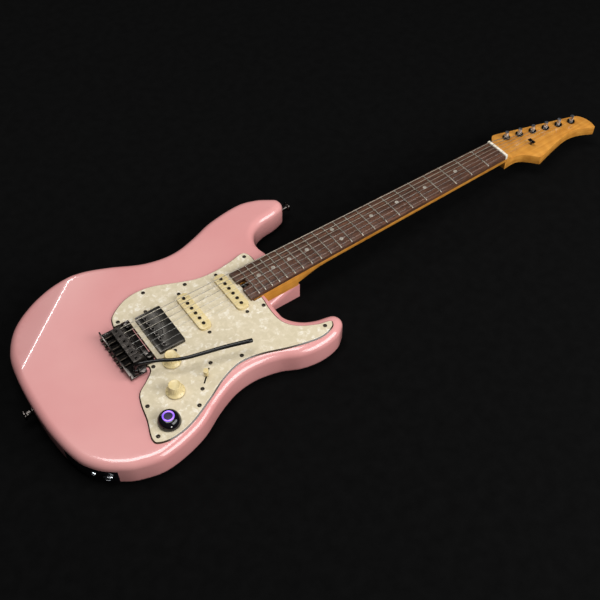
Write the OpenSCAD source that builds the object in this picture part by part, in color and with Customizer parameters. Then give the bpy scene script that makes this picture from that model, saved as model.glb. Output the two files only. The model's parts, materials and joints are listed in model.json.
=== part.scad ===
// Solid-body electric guitar lying on its back, strings up.
// +X runs from the strap end to the headstock, +Y is the bass side and +Z comes out of the face.
// Lengths along the guitar are measured from the line where the strings leave the saddles.

/* [Neck] */
// Vibrating length of the strings, saddle line to nut
scale_len = 648; // [628:1:660]
// Number of frets
fret_count = 22; // [21:1:24]
// Fretboard width at the nut
nut_w = 42; // [41:0.5:44]
// Fretboard width at the last fret
last_fret_w = 56; // [54:0.5:58]
// Radius of the fretboard's crown
crown_r = 305; // [240:5:400]
// Fretboard thickness along the centre line
board_t = 6.9; // [6:0.1:7.5]
// Neck wood under the fretboard at the nut
neck_t_nut = 15; // [14:0.5:17]
// Neck wood under the fretboard beside the heel
neck_t_heel = 17; // [16:0.5:19]
// Pitch of the strings at the nut
nut_pitch = 7; // [6.8:0.1:7.2]

/* [Headstock] */
// Thickness of the headstock
head_t = 14.5; // [13:0.5:16]
// Height of the headstock's face above the back of the body
head_face_z = 41; // [40:0.5:42]
// Distance between neighbouring tuners
tuner_pitch = 23.7; // [23:0.1:24.5]
// Angle by which the row of tuners leans towards the treble side
tuner_lean = 16; // [15:0.5:17]

/* [Body] */
// Thickness of the body
body_t = 44.5; // [43:0.5:46]
// Radius of the rounded rim, front and back
rim_r = 11; // [8:1:12]
// Height of the neck pocket's floor above the back
pocket_floor = 26.8; // [26:0.2:28]
// Depth of the spring cavity in the back
spring_cavity_d = 17; // [15:0.5:19]

/* [Pickguard] */
// Thickness of the pickguard
guard_t = 2.5; // [2:0.1:3]

/* [Bridge] */
// Pitch of the strings at the saddles
saddle_pitch = 10.7; // [10.4:0.1:10.8]
// Height of the strings at the saddle line above the back
saddle_string_z = 58; // [57.5:0.1:58.5]
// Thickness of the bridge plate
plate_t = 2.2; // [2:0.1:2.4]
// Distance between the two pivot posts
post_span = 60; // [58:0.5:61]
// Height of the arm above the back of the body
arm_z = 69; // [68.5:0.1:71]

/* [Controls] */
// Skirt diameter of the volume and tone knobs
knob_d = 25; // [23:0.5:26]
// Diameter of the domed light knob
dome_d = 30; // [28:0.5:31]
// Length of a single-coil pickup cover
coil_l = 70; // [68:0.5:71]
// Width of a single-coil pickup cover
coil_w = 18; // [17:0.5:18.5]

/* [Hidden] */
$fn = 48;

board_z = body_t + guard_t;          // underside of the fretboard
crown_z = board_z + board_t;         // top of the fretboard on the centre line
guard_z = board_z;                   // top of the pickguard
board_end = 167;                     // fretboard's end over the pickguard
pocket_x = 172;                      // neck pocket's end wall
heel_x = 248;                        // end of the body under the neck
heel_rim_r = 1.5;                    // radius of the rim under the neck's heel
rim_fade = 1.6;                      // rim radius gained at each point away from the heel
heel_w = last_fret_w + 0.4;          // width of the body's heel and of the neck pocket
notch_x = 179;                       // end of the notch over the truss rod's wheel
strap_reach = 13.5;                  // how far a strap button stands out of the body

// Fret n divides the scale by the twelfth root of two, n times.
function fret_x(n) = scale_len * pow(2, -n / 12);
// Half width of the fretboard at distance x from the saddle line
function half_w(x) =
    (nut_w + (last_fret_w - nut_w) * (scale_len - x) / (scale_len - fret_x(22))) / 2;
// Height of a crowned surface of radius r at distance y from the centre line
function crown(y, r) = sqrt(r * r - y * y) - r;
// The strings, from the bass side: place across the neck, diameter and height
function string_y(i, pitch) = (2.5 - i) * pitch;
string_d = [1.17, 0.91, 0.66, 0.43, 0.33, 0.25];
function nut_string_z(i) = crown_z + 1.6 + crown(string_y(i, nut_pitch), crown_r);
function saddle_top(i) = saddle_string_z + crown(string_y(i, saddle_pitch), crown_r);

// A smooth curve through the points p, n steps between neighbours: each span is a cubic whose end
// slopes follow the chords beside it, weighted by their lengths.
function chord(p, i) = norm(p[i + 1] - p[i]);
function slope(p, i) =
    i == 0 ? (p[1] - p[0]) / chord(p, 0)
    : i == len(p) - 1 ? (p[i] - p[i - 1]) / chord(p, i - 1)
    : (p[i + 1] - p[i - 1]) / (chord(p, i) + chord(p, i - 1));
function cubic(a, b, u, v, t) =
    a * (2 * t * t * t - 3 * t * t + 1) + b * (3 * t * t - 2 * t * t * t)
    + u * (t * t * t - 2 * t * t + t) + v * (t * t * t - t * t);
function curve(p, n) = concat(
    [for (i = [0:len(p) - 2], k = [0:n - 1])
        cubic(p[i], p[i + 1], slope(p, i) * chord(p, i), slope(p, i + 1) * chord(p, i), k / n)],
    [p[len(p) - 1]]);

// Body outline, anticlockwise from the bass cutaway round the tail to the treble cutaway
body_curve = curve([
    [233, 36], [233, 52], [237, 70], [248, 85], [265, 93], [288, 96],
    [305, 101], [310.4, 105.5], [313, 112], [311.5, 120.8], [305, 127], [284, 140], [255, 147],
    [202, 140],
    [165, 127], [135, 119], [110, 119], [80, 127], [40, 148], [2, 163],
    [-40, 167], [-80, 156], [-115, 132], [-137, 95], [-145, 55], [-148, 0],
    [-146, -55], [-136, -105], [-122, -129], [-103, -146], [-82, -158], [-46, -166],
    [9, -155], [51, -133], [82, -121], [113, -118], [147, -125], [175, -138],
    [205, -143], [232, -139], [247, -129], [250.8, -124.1], [252, -118], [249.3, -110.6], [243, -106],
    [223, -101], [206, -92], [193, -77], [189, -60], [188, -36]], 4);
body_outline = concat(body_curve,
    [[188, -heel_w / 2], [heel_x, -heel_w / 2], [heel_x, heel_w / 2], [233, heel_w / 2]]);
// Places on the outline, counted along its points
tail_i = 100;
horn_i = 33;
jack_i = 114;
phones_i = 111;
panel_from = 106;
panel_to = 116;

// Direction into the outline at its point i
function unit(v) = v / norm(v);
function inward(p, i) =
    let (n = len(p), t = unit(unit(p[(i + 1) % n] - p[i]) + unit(p[i] - p[(i + n - 1) % n])))
    [-t.y, t.x];

// Skin through rings of equally many points, closed at both ends
function skin_faces(rings, n) = concat(
    [[for (i = [n - 1:-1:0]) i]],
    [for (k = [0:rings - 2], i = [0:n - 1], half = [0, 1])
        let (a = k * n + i, b = k * n + (i + 1) % n)
        half == 0 ? [a, b, b + n] : [a, b + n, a + n]],
    [[for (i = [0:n - 1]) (rings - 1) * n + i]]);
module skin(rings) {
    n = len(rings[0]);
    polyhedron(
        points = [for (r = rings) each r],
        faces = [for (f = skin_faces(len(rings), n)) [for (i = [len(f) - 1:-1:0]) f[i]]],
        convexity = 10);
}

// Pickguard outline, anticlockwise from the bass side of the neck pocket
guard_outline = concat(
    curve([[213, 28.6], [213, 44], [209, 53], [202, 55], [185, 51.5], [155, 48.6],
        [130, 51], [109, 58.5], [89, 67.6], [70, 75.5], [49, 79], [28, 76.3],
        [9, 67], [-3, 56.6], [-8, 41.6]], 4),
    curve([[-8, -39], [-1, -42], [-3, -50], [-15, -60], [-30, -71], [-37, -88], [-42, -112],
        [-50, -137], [-48, -147], [-30, -152.7], [0, -148.3], [40, -130], [70, -114],
        [100, -105.5], [129, -110], [169, -124.4], [209, -133.4], [232, -128],
        [237, -118], [219, -112.3], [194, -97.5], [182.5, -80], [181, -55],
        [183.5, -36]], 4),
    [[184, -28.6]]);

// Sites of the screws, knobs and pickups on the face
guard_screws = [[1.7, 45.7], [54, 71], [108.5, 50.5], [204, 46], [177, -44], [224, -121],
    [107, -97.5], [22.5, -131], [-41.5, -140], [-31, -94.5], [4.5, -46]];
volume_at = [28, -53];
tone_at = [8.5, -96];
dome_at = [-20, -130];
dome_z = guard_z + 0.6;
selector_at = [53, -98];
selector_turn = 44;
selector_screw_gap = 20.4;
single_x = [93, 152.8];
coil_pole_pitch = 10.4;
coil_screw_y = 40.5;
humbucker_x = 40.5;
humbucker_l = 70;
humbucker_w = 38;
ear_screw_y = 40;
coil_top = 51.5;
cavity_floor = 24.5;

// Bridge: the plate turns about a line through the two posts
pivot_x = 6;
plate_z = 47.4;
pivot_z = plate_z + plate_t / 2;
post_x = pivot_x + 2.3;
plate_front = 11;
wall_x = -28;
block_x = -9;
block_w = 14;
block_l = 62;
block_foot = 8;
arm_at = [-18.5, -44.5];
arm_r = 2.5;
spring_y = [-16, 0, 16];
spring_z = 11;
claw_x = 96;

// Edge panel in the tail's treble corner, and what it holds
panel_z0 = 6;
panel_z1 = 32;
panel_mid = (panel_z0 + panel_z1) / 2;
panel_t = 2;

// Headstock
first_post = [691.5, 21.4];
lean_dir = [cos(tuner_lean), -sin(tuner_lean)];
key_dir = [sin(tuner_lean), cos(tuner_lean)];
function post_at(i) = first_post + i * tuner_pitch * lean_dir;
head_outline = concat(
    curve([[650, 21], [660, 23.5], [668, 29], [674, 36], [678, 38]], 4),
    curve([[684, 37.1], [750, 17], [812, -1.8], [824, -7], [830, -18], [831, -32], [828, -43]], 4),
    curve([[826, -43.4], [808, -34.5], [790, -29.5], [770, -30], [735, -37.5], [706, -45]], 4),
    curve([[703, -45], [693, -33], [683, -24], [672, -20], [650, -21]], 4));

// Middle of the guitar's length and width
mid_x = (max([for (p = head_outline) p.x]) + body_outline[tail_i].x - strap_reach) / 2;
mid_y = (max([for (p = body_outline) p.y]) + min([for (p = body_outline) p.y])) / 2;

// Everything is drawn about the saddle line and then moved, so that the origin ends up in the
// middle of the guitar's length and width, on the plane of its back.
module placed() {
    translate([-mid_x, -mid_y, 0]) children();
}

// A screw whose head rests at height z, pointing down
module screw(at, z, head_r, head_h, shank_r, shank_l) {
    translate([at.x, at.y, z]) {
        cylinder(h = head_h, r1 = head_r, r2 = head_r * 0.7, $fn = 24);
        translate([0, 0, -shank_l]) cylinder(h = shank_l + 0.01, r = shank_r, $fn = 16);
    }
}

// The hole that such a screw's shank goes into
module hole(at, z, r, depth) {
    translate([at.x, at.y, z - depth]) cylinder(h = depth + 1, r = r);
}

// A plate with rounded corners, centred on its own place
module slab(l, w, t, r) {
    linear_extrude(t) {
        square([l, w - 2 * r], center = true);
        square([l - 2 * r, w], center = true);
        for (sx = [-1, 1], sy = [-1, 1])
            translate([sx * (l / 2 - r), sy * (w / 2 - r)]) circle(r = r);
    }
}

// Rings of a round bar along the points p, which nowhere run along Y; r is its radius at each point
function ring(at, along, r, sides) =
    let (u = unit(cross([0, 1, 0], along)), v = cross(along, u))
    [for (k = [0:sides - 1]) at + r * (cos(360 * k / sides) * u + sin(360 * k / sides) * v)];
function ahead(p, i) = unit(p[min(i + 1, len(p) - 1)] - p[max(i - 1, 0)]);
module tube(p, r, sides) {
    skin([for (i = [0:len(p) - 1]) ring(p[i], ahead(p, i), r[i], sides)]);
}

// Radius of the rim at point i of the outline: it fades out towards the heel under the neck.
function rim_at(i) =
    let (from_heel = min(i, len(body_curve) - 1 - i))
    min(rim_r, heel_rim_r + rim_fade * max(0, from_heel));
// The outline at angle a round the rim, from the flat face (0) to the side (90)
function rim_ring(a, front) = [for (i = [0:len(body_outline) - 1])
    let (r = rim_at(i), rise = r * (1 - cos(a)))
    let (p = body_outline[i] + r * (1 - sin(a)) * inward(body_outline, i))
    [p.x, p.y, front ? body_t - rise : rise]];
module body_blank() {
    over = 4;
    rings = concat(
        [[for (p = rim_ring(0, false)) p - [0, 0, over]]],
        [for (a = [0:30:90]) rim_ring(a, false)],
        [for (a = [90:-30:0]) rim_ring(a, true)],
        [[for (p = rim_ring(0, true)) p + [0, 0, over]]]);
    intersection() {
        skin(rings);
        translate([-200, -200, 0]) cube([600, 400, body_t]);
    }
}
module body() {
    color("#dd9a98") placed() difference() {
        body_blank();
        forearm_bevel();
        belly_cut();
        front_cavities();
        back_cavities();
        edge_cavities();
    }
}

// Flat bevel for the forearm, falling away from a line across the bass lower bout
module forearm_bevel() {
    translate([-16, 158, body_t]) rotate([0, 0, 222]) rotate([13, 0, 0])
        translate([-60, -120, 0]) cube([300, 120, 60]);
}

// Flat bevel on the back behind the waist, bass side
module belly_cut() {
    scoop_r = 150;
    translate([110, 86, 0]) rotate([17, 0, 0]) translate([0, 0, -scoop_r]) rotate([-90, 0, 0])
        cylinder(h = 90, r = scoop_r, $fn = 360);
}

module front_cavities() {
    translate([pocket_x, -heel_w / 2, pocket_floor])
        cube([heel_x - pocket_x + 20, heel_w, body_t]);
    for (x = single_x)
        translate([x, 0, cavity_floor]) slab(25, 94, body_t, 6);
    translate([humbucker_x, 0, cavity_floor]) slab(46, 94, body_t, 6);
    translate([0, 0, 6]) linear_extrude(body_t) polygon([
        [-24, -75], [-3, -61], [12, -40], [66, -40], [84, -58], [84, -100], [30, -127],
        [-16, -144], [-40, -134], [-36, -106]]);
    translate([-10, 0, -1]) slab(32, 74, body_t + 2, 6);
    for (p = guard_screws) hole(p, body_t, 1.4, 10.5);
    for (s = [-1, 1])
        hole([post_x, s * post_span / 2], body_t, 5, 22);
    translate([notch_x - 12, -9, 33]) cube([10, 18, body_t]);
}

module back_cavities() {
    translate([-27, -34, -1]) cube([140, 68, spring_cavity_d + 1]);
    translate([36, 0, -0.01]) slab(166, 90, 2.01, 6);
    for (p = back_screw_sites()) hole(p, 12, 1.4, 10.5);
    translate([210, 0, -0.01]) slab(64.4, 50.4, 2.01, 6.2);
    for (p = neck_bolt_sites()) hole(p, pocket_floor, 2.6, pocket_floor + 1);
}

module edge_cavities() {
    linear_extrude_between(panel_z0, panel_z1) panel_shape(panel_t);
    at_edge(jack_i, panel_mid) translate([0, 0, -72]) cylinder(h = 72, r = 9.5);
    at_edge(phones_i, panel_mid) translate([0, 0, -60]) cylinder(h = 60, r = 6.5);
    for (i = [tail_i, horn_i])
        at_edge(i, body_t / 2) translate([0, 0, -26]) cylinder(h = 26, r = 1.8, $fn = 16);
}

// At point i of the outline and height z, with +Z pointing out of the edge
module at_edge(i, z) {
    p = body_outline[i];
    out = -inward(body_outline, i);
    translate([p.x, p.y, z]) rotate([0, 90, atan2(out.y, out.x)]) children();
}

module linear_extrude_between(z0, z1) {
    translate([0, 0, z0]) linear_extrude(z1 - z0) children();
}

module neck() {
    // stations: distance along the neck, depth below the fretboard, squareness of the section
    stations = [for (x = [246, 254, 262, 272, 284, 300, 380, 460, 540, 620, 640, 652])
        let (heel = max(0, min(1, (290 - x) / 44)),
            plain = neck_t_nut + (neck_t_heel - neck_t_nut) * (scale_len - x) / 392)
        [x, plain + (board_z - pocket_floor - plain) * heel * heel * (3 - 2 * heel),
            0.75 - 0.55 * heel]];
    color("#c98f4e") placed() difference() {
        union() {
            translate([pocket_x, -last_fret_w / 2, pocket_floor])
                cube([246.1 - pocket_x, last_fret_w, board_z - pocket_floor]);
            skin([for (s = stations) [for (a = [0:12:180])
                [s[0], -sign(cos(a)) * half_w(s[0]) * pow(abs(cos(a)), s[2]),
                    board_z - s[1] * pow(sin(a), s[2])]]]);
            hull() {
                translate([651.9, -half_w(652), board_z - neck_t_nut + 6])
                    cube([2, 2 * half_w(652), neck_t_nut - 6]);
                translate([667, -18, head_face_z - head_t]) cube([4, 42, head_t]);
            }
            translate([0, 0, head_face_z - head_t]) linear_extrude(head_t)
                polygon(head_outline);
        }
        translate([0, 0, board_z - 12]) rotate([0, 90, 0]) translate([0, 0, pocket_x - 1])
            cylinder(h = 8, r = 7);
        translate([pocket_x - 1, -7.5, board_z - 12]) cube([notch_x - pocket_x + 1, 15, 20]);
        translate([notch_x - 1, -3.2, board_z - 9]) cube([460, 6.4, 10]);
        for (i = [0:5])
            translate([post_at(i).x, post_at(i).y, 0]) cylinder(h = 60, r = 5);
        for (p = neck_bolt_sites()) hole(p, pocket_floor + 17, 1.9, 18);
        translate([tree_at.x, tree_at.y, head_face_z - 8]) cylinder(h = 12, r = 1.2, $fn = 16);
    }
}

module fretboard() {
    color("#4a2f26") placed() difference() {
        intersection() {
            linear_extrude_between(board_z, board_z + board_t + 1) polygon([
                [board_end, -half_w(board_end)], [scale_len, -half_w(scale_len)],
                [scale_len, half_w(scale_len)], [board_end, half_w(board_end)]]);
            translate([board_end - 1, 0, crown_z - crown_r]) rotate([0, 90, 0])
                cylinder(h = scale_len, r = crown_r, $fn = 720);
        }
        translate([board_end - 1, -7.5, board_z - 1]) cube([notch_x - board_end + 1, 15, 20]);
        for (n = [1:fret_count]) fret_tang(n, 0.5, crown_z - 2.6, 4);
        for (p = dot_sites())
            translate([p.x, p.y, crown_z - 1.6]) cylinder(h = 5, r = 3, $fn = 24);
    }
}

// Slot or tang of fret n: a strip w wide, from height z up by h
module fret_tang(n, w, z, h) {
    translate([fret_x(n) - w / 2, -half_w(fret_x(n)) - 1, z])
        cube([w, 2 * half_w(fret_x(n)) + 2, h]);
}

module frets() {
    color("#c9ccce") placed() for (n = [1:fret_count]) {
        w = half_w(fret_x(n)) - 0.4;
        ys = [for (k = [-4:4]) k * w / 4];
        translate([fret_x(n) - 1.2, 0, 0]) rotate([90, 0, 90]) linear_extrude(2.4)
            polygon(concat(
                [for (y = ys) [y, crown_z + crown(y, crown_r) + 0.02]],
                [for (k = [8:-1:0]) [ys[k], crown_z + 1.1 + crown(ys[k], crown_r)]]));
        translate([fret_x(n) - 0.25, -w, crown_z - 2.6]) cube([0.5, 2 * w, 1.6 + 0.5]);
    }
}

// Dots lie midway between two frets; the twelfth space has two
function dot_x(n) = (fret_x(n) + fret_x(n - 1)) / 2;
function dot_sites() = concat(
    [for (n = [3, 5, 7, 9, 15, 17, 19, 21]) [dot_x(n), 0]],
    [for (s = [-1, 1]) [dot_x(12), s * 11.5]]);

module position_dots() {
    color("#e8e4d8") placed() for (p = dot_sites())
        translate([p.x, p.y, crown_z - 1.6])
            cylinder(h = 1.6 + crown(p.y, crown_r) - 0.05, r = 3, $fn = 24);
}

module nut() {
    w = half_w(scale_len);
    color("#efe9dc") placed() difference() {
        translate([scale_len, 0, board_z]) rotate([90, 0, 90]) linear_extrude(4) polygon(concat(
            [[-w, 0], [w, 0]],
            [for (k = [4:-1:-4]) [k * w / 4, board_t + 1.9 + crown(k * w / 4, crown_r)]]));
        for (i = [0:5])
            translate([scale_len - 1, string_y(i, nut_pitch) - string_d[i] / 2 - 0.1,
                nut_string_z(i) - string_d[i] / 2 - 0.1]) cube([6, string_d[i] + 0.2, 5]);
    }
}

module truss_rod() {
    color("#8d8f92") placed() {
        translate([notch_x - 4, 0, board_z - 6]) rotate([0, 90, 0]) cylinder(h = 450, r = 2.5);
        translate([notch_x - 5.5, 0, board_z - 5]) rotate([0, 90, 0]) cylinder(h = 4.5, r = 6.5);
    }
}

function neck_bolt_sites() = [for (x = [189, 231], s = [-1, 1]) [x, s * 19]];

module neck_plate() {
    color("#26272a") placed() translate([210, 0, 0]) difference() {
        slab(64, 50, 2, 6);
        for (p = neck_bolt_sites()) translate([p.x - 210, p.y, -1]) cylinder(h = 4, r = 2.5);
        for (p = neck_bolt_sites())
            translate([p.x - 210, p.y, -0.01]) cylinder(h = 1.3, r = 4.3);
    }
}

module neck_bolts() {
    color("#303136") placed() for (p = neck_bolt_sites()) translate([p.x, p.y, 0.1]) {
        cylinder(h = 1.1, r = 4.1);
        cylinder(h = 40, r = 1.85, $fn = 16);
    }
}

module pickguard() {
    color("#d9cfb6") placed() difference() {
        linear_extrude_between(body_t, guard_z) polygon(guard_outline);
        translate([pocket_x - 0.2, -28.6, body_t - 1]) cube([60, 57.2, 10]);
        translate([-30, -40.2, body_t - 1]) cube([43, 80.2, 10]);
        for (x = single_x)
            translate([x, 0, body_t - 1]) slab(coil_w + 0.4, coil_l + 0.4, 5, 7.2);
        translate([humbucker_x, 0, body_t - 1])
            slab(humbucker_w + 0.6, humbucker_l + 0.6, 5, 2.3);
        for (p = guard_screws) hole(p, guard_z, 1.7, 5);
        for (p = pickup_screw_sites()) hole(p, guard_z, 1.7, 5);
        for (p = selector_screw_sites()) hole(p, guard_z, 1.7, 5);
        for (p = [volume_at, tone_at]) hole(p, guard_z, 4.6, 5);
        hole(dome_at, guard_z, 5.1, 5);
        translate([selector_at.x, selector_at.y, body_t - 1]) rotate([0, 0, selector_turn])
            slab(25, 2, 6, 0.9);
    }
}

function selector_screw_sites() = [for (s = [-1, 1])
    selector_at + s * selector_screw_gap * [cos(selector_turn), sin(selector_turn)]];
function pickup_screw_sites() = concat(
    [for (x = single_x, s = [-1, 1]) [x, s * coil_screw_y]],
    [for (s = [-1, 1]) [humbucker_x, s * ear_screw_y]]);
function back_screw_sites() = [for (x = [-40, 36, 112], s = [-1, 1]) [x, s * 40]];

// Small self-tapping screws: round the pickguard, on the back plate and on the edge panel
module cover_screws() {
    color("#3a3128") placed() {
        for (p = guard_screws) screw(p, guard_z, 2.9, 1.1, 1.3, 10);
        for (p = back_screw_sites()) translate([p.x, p.y, 0.1]) {
            cylinder(h = 1, r = 2.4, $fn = 24);
            cylinder(h = 11, r = 1.3, $fn = 16);
        }
    }
}

module single_coil_covers() {
    color("#e6d9a4") placed() for (x = single_x) translate([x, 0, 0]) difference() {
        translate([0, 0, 36]) slab(coil_w, coil_l, coil_top - 36, 7);
        translate([0, 0, 35]) slab(coil_w - 3, coil_l - 3, coil_top - 36 - 0.8, 5.6);
        for (i = [0:5])
            translate([0, string_y(i, coil_pole_pitch), 30]) cylinder(h = 40, r = 2.5);
    }
}

// Coil formers with their windings, inside the covers, and the plates that carry them
module pickup_bobbins() {
    color("#2b2622") placed() {
        for (x = single_x) translate([x, 0, 0]) difference() {
            union() {
                translate([0, 0, 36.2]) slab(13, 64, 13.2, 6);
                translate([0, 0, 33.6]) slab(17, 88, 2.2, 6);
            }
            for (i = [0:5])
                translate([0, string_y(i, coil_pole_pitch), 30]) cylinder(h = 40, r = 2.45);
            for (s = [-1, 1])
                translate([0, s * coil_screw_y, 30]) cylinder(h = 10, r = 1.6, $fn = 16);
        }
        translate([humbucker_x, 0, 0]) difference() {
            union() {
                for (s = [-1, 1]) translate([s * 9, 0, 35.2]) slab(16, 62, 14, 6);
                translate([0, 0, 33]) slab(36, 88, 2.2, 6);
            }
            for (i = [0:5])
                translate([-8.5, string_y(i, coil_pole_pitch), 30]) cylinder(h = 40, r = 1.7);
            for (s = [-1, 1])
                translate([0, s * ear_screw_y, 30]) cylinder(h = 10, r = 1.6, $fn = 16);
        }
    }
}

module single_coil_poles() {
    color("#4c463c") placed() for (x = single_x, i = [0:5])
        translate([x, string_y(i, coil_pole_pitch), 34.5]) cylinder(h = 18, r = 2.4);
}

module humbucker_cover() {
    color("#3a3733") placed() translate([humbucker_x, 0, 0]) difference() {
        translate([0, 0, 35.4]) slab(humbucker_w, humbucker_l, 51.8 - 35.4, 2);
        translate([0, 0, 34]) slab(humbucker_w - 1.6, humbucker_l - 1.6, 17, 1.4);
        for (i = [0:5])
            translate([-8.5, string_y(i, coil_pole_pitch), 30]) cylinder(h = 40, r = 2.6);
    }
}

module humbucker_poles() {
    color("#57524c") placed() for (i = [0:5])
        translate([humbucker_x - 8.5, string_y(i, coil_pole_pitch), 0]) {
            translate([0, 0, 50.2]) cylinder(h = 2, r = 2.4);
            translate([0, 0, 35]) cylinder(h = 16, r = 1.6, $fn = 16);
        }
}

// Machine screws: pickup heights and the selector's frame
module machine_screws() {
    color("#3a342c") placed() {
        for (p = pickup_screw_sites()) screw(p, guard_z, 2.6, 1.1, 1.5, 18);
        for (p = selector_screw_sites()) screw(p, guard_z, 2.8, 1.1, 1.5, 5);
    }
}

module potentiometers() {
    color("#9a9c9e") placed() for (p = [volume_at, tone_at]) translate([p.x, p.y, 0]) {
        translate([0, 0, 21]) cylinder(h = 10, r = 11.5);
        translate([0, 0, 30.9]) cylinder(h = body_t - 31, r = 6);
        translate([0, 0, 43]) cylinder(h = 7, r = 4.5);
        translate([0, 0, 49]) cylinder(h = 9, r = 3);
    }
}

// A skirted knob with a ribbed grip and a bore for the shaft
module skirted_knob(at, skirt_d) {
    base = guard_z + 1.2;
    translate([at.x, at.y, base]) difference() {
        union() {
            cylinder(h = 2, r = skirt_d / 2);
            translate([0, 0, 1.9]) cylinder(h = 5, r1 = skirt_d / 2 - 0.5, r2 = 9.2);
            translate([0, 0, 6.8]) cylinder(h = 8, r1 = 9, r2 = 8);
        }
        translate([0, 0, -1]) cylinder(h = 11.2, r = 3.05);
        translate([0, 0, -1]) cylinder(h = 4, r = 6.5);
    }
}

module volume_knob() {
    color("#e8dca6") placed() skirted_knob(volume_at, knob_d);
}

module tone_knob() {
    color("#e8dca6") placed() skirted_knob(tone_at, knob_d);
}

// Domed knob that turns on the encoder; the light ring and the button sit in its top
module dome_knob() {
    flank = dome_d / 2 - 7.8;
    color("#15151a") placed() translate([dome_at.x, dome_at.y, dome_z]) rotate_extrude()
        polygon(concat(
            [[5.3, 0], [dome_d / 2 - 0.5, 0]],
            [for (a = [0:15:90]) [7.8 + flank * cos(a), 1 + 11.5 * pow(sin(a), 1.3)]],
            [[7.8, 8], [5.3, 8]]));
}

module light_ring() {
    color("#a07cf0") placed() translate([dome_at.x, dome_at.y, dome_z]) difference() {
        translate([0, 0, 8]) cylinder(h = 5, r = 7.7);
        translate([0, 0, 7]) cylinder(h = 8, r = 5.7);
    }
}

module dome_button() {
    color("#120a26") placed() translate([dome_at.x, dome_at.y, dome_z]) {
        translate([0, 0, 9.6]) cylinder(h = 3, r = 5.4);
        translate([0, 0, 5]) cylinder(h = 5, r = 1.5, $fn = 24);
    }
}

module dome_encoder() {
    color("#6f7276") placed() translate([dome_at.x, dome_at.y, 0]) difference() {
        union() {
            translate([0, 0, 32]) slab(18, 18, 8, 2);
            translate([0, 0, 39.9]) cylinder(h = guard_z - 39.9 + 4, r = 5);
        }
        translate([0, 0, 44]) cylinder(h = 20, r = 2.2, $fn = 24);
    }
}

// Pivot of the selector's lever, under the pickguard
selector_pivot_z = 33;

module selector_frame() {
    color("#8a8c8e") placed() translate([selector_at.x, selector_at.y, 0])
        rotate([0, 0, selector_turn]) difference() {
            union() {
                translate([0, 0, body_t - 2.4]) slab(46, 10, 2.2, 2);
                for (s = [-1, 1]) translate([-11, s * 3.6 - 0.6, 27]) cube([22, 1.2, 15.4]);
                translate([-12, -4.2, 24.8]) cube([24, 8.4, 2.3]);
            }
            for (s = [-1, 1]) translate([s * selector_screw_gap, 0, 30]) cylinder(h = 20, r = 1.6);
            translate([-9.5, -2.4, body_t - 5]) cube([19, 4.8, 8]);
            translate([0, 5, selector_pivot_z]) rotate([90, 0, 0]) cylinder(h = 10, r = 1.25);
        }
}

module selector_lever() {
    color("#b4b6b8") placed() translate([selector_at.x, selector_at.y, 0])
        rotate([0, 0, selector_turn]) {
            translate([0, 3.9, selector_pivot_z]) rotate([90, 0, 0])
                cylinder(h = 7.8, r = 1.2);
            translate([-1.6, -0.6, selector_pivot_z]) cube([3.2, 1.2, 20.5]);
            translate([0, 2, selector_pivot_z]) rotate([90, 0, 0]) cylinder(h = 4, r = 4.5);
        }
}

module selector_tip() {
    color("#e6d9a8") placed() translate([selector_at.x, selector_at.y, guard_z + 1.4])
        rotate([0, 0, selector_turn]) difference() {
            hull() {
                slab(5, 5, 1, 1.5);
                translate([0, 0, 8]) slab(7, 6.4, 2.5, 2.5);
            }
            translate([-1.65, -0.65, -1]) cube([3.3, 1.3, 6.2]);
        }
}

// Electronics in the control cavity
module control_board() {
    color("#1f5a3c") placed() translate([0, 0, 7.5]) linear_extrude(1.6) polygon([
        [-22, -76], [12, -60], [12, -120], [-15, -138], [-36, -130], [-32, -106]]);
}

module battery_pack() {
    color("#c9ccd2") placed() translate([48, -82, 7.5]) slab(50, 30, 11, 3);
}

// Strip of the body's rim that the edge panel fills, t deep
module panel_shape(t) {
    places = [panel_from:panel_to];
    polygon(concat(
        [for (i = places) body_outline[i]],
        [for (k = places) let (i = panel_from + panel_to - k)
            body_outline[i] + t * inward(body_outline, i)]));
}

module socket_panel() {
    color("#17171a") placed() difference() {
        linear_extrude_between(panel_z0, panel_z1) panel_shape(panel_t);
        at_edge(jack_i, panel_mid) translate([0, 0, -20]) cylinder(h = 40, r = 5);
        at_edge(phones_i, panel_mid) translate([0, 0, -20]) cylinder(h = 40, r = 4.3);
    }
}

// Jack socket for a 6.35 mm plug: threaded bush, nut and barrel
module output_jack() {
    color("#c4c6c8") placed() at_edge(jack_i, panel_mid) difference() {
        union() {
            translate([0, 0, -36]) cylinder(h = 33, r = 9);
            translate([0, 0, -4]) cylinder(h = 7, r = 4.7);
            translate([0, 0, 0.6]) cylinder(h = 2, r = 6.8, $fn = 6);
        }
        translate([0, 0, -34]) cylinder(h = 40, r = 3.2);
    }
}

// Headphone socket beside the jack
module phones_socket() {
    color("#5d5f62") placed() at_edge(phones_i, panel_mid) difference() {
        union() {
            translate([0, 0, -18]) cylinder(h = 15, r = 6);
            translate([0, 0, -4]) cylinder(h = 5.2, r = 4.2);
        }
        translate([0, 0, -16]) cylinder(h = 20, r = 1.8);
    }
}

module strap_buttons() {
    color("#8b8d90") placed() for (i = [tail_i, horn_i]) at_edge(i, body_t / 2) {
        rotate_extrude() polygon([[0, 0.3], [6.2, 0.3], [6.2, 1.6], [4, 3.2], [4, 9.6],
            [7, 11], [7, 13], [6, strap_reach], [0, strap_reach]]);
        translate([0, 0, -22]) cylinder(h = 22.5, r = 1.7, $fn = 16);
    }
}

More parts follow.
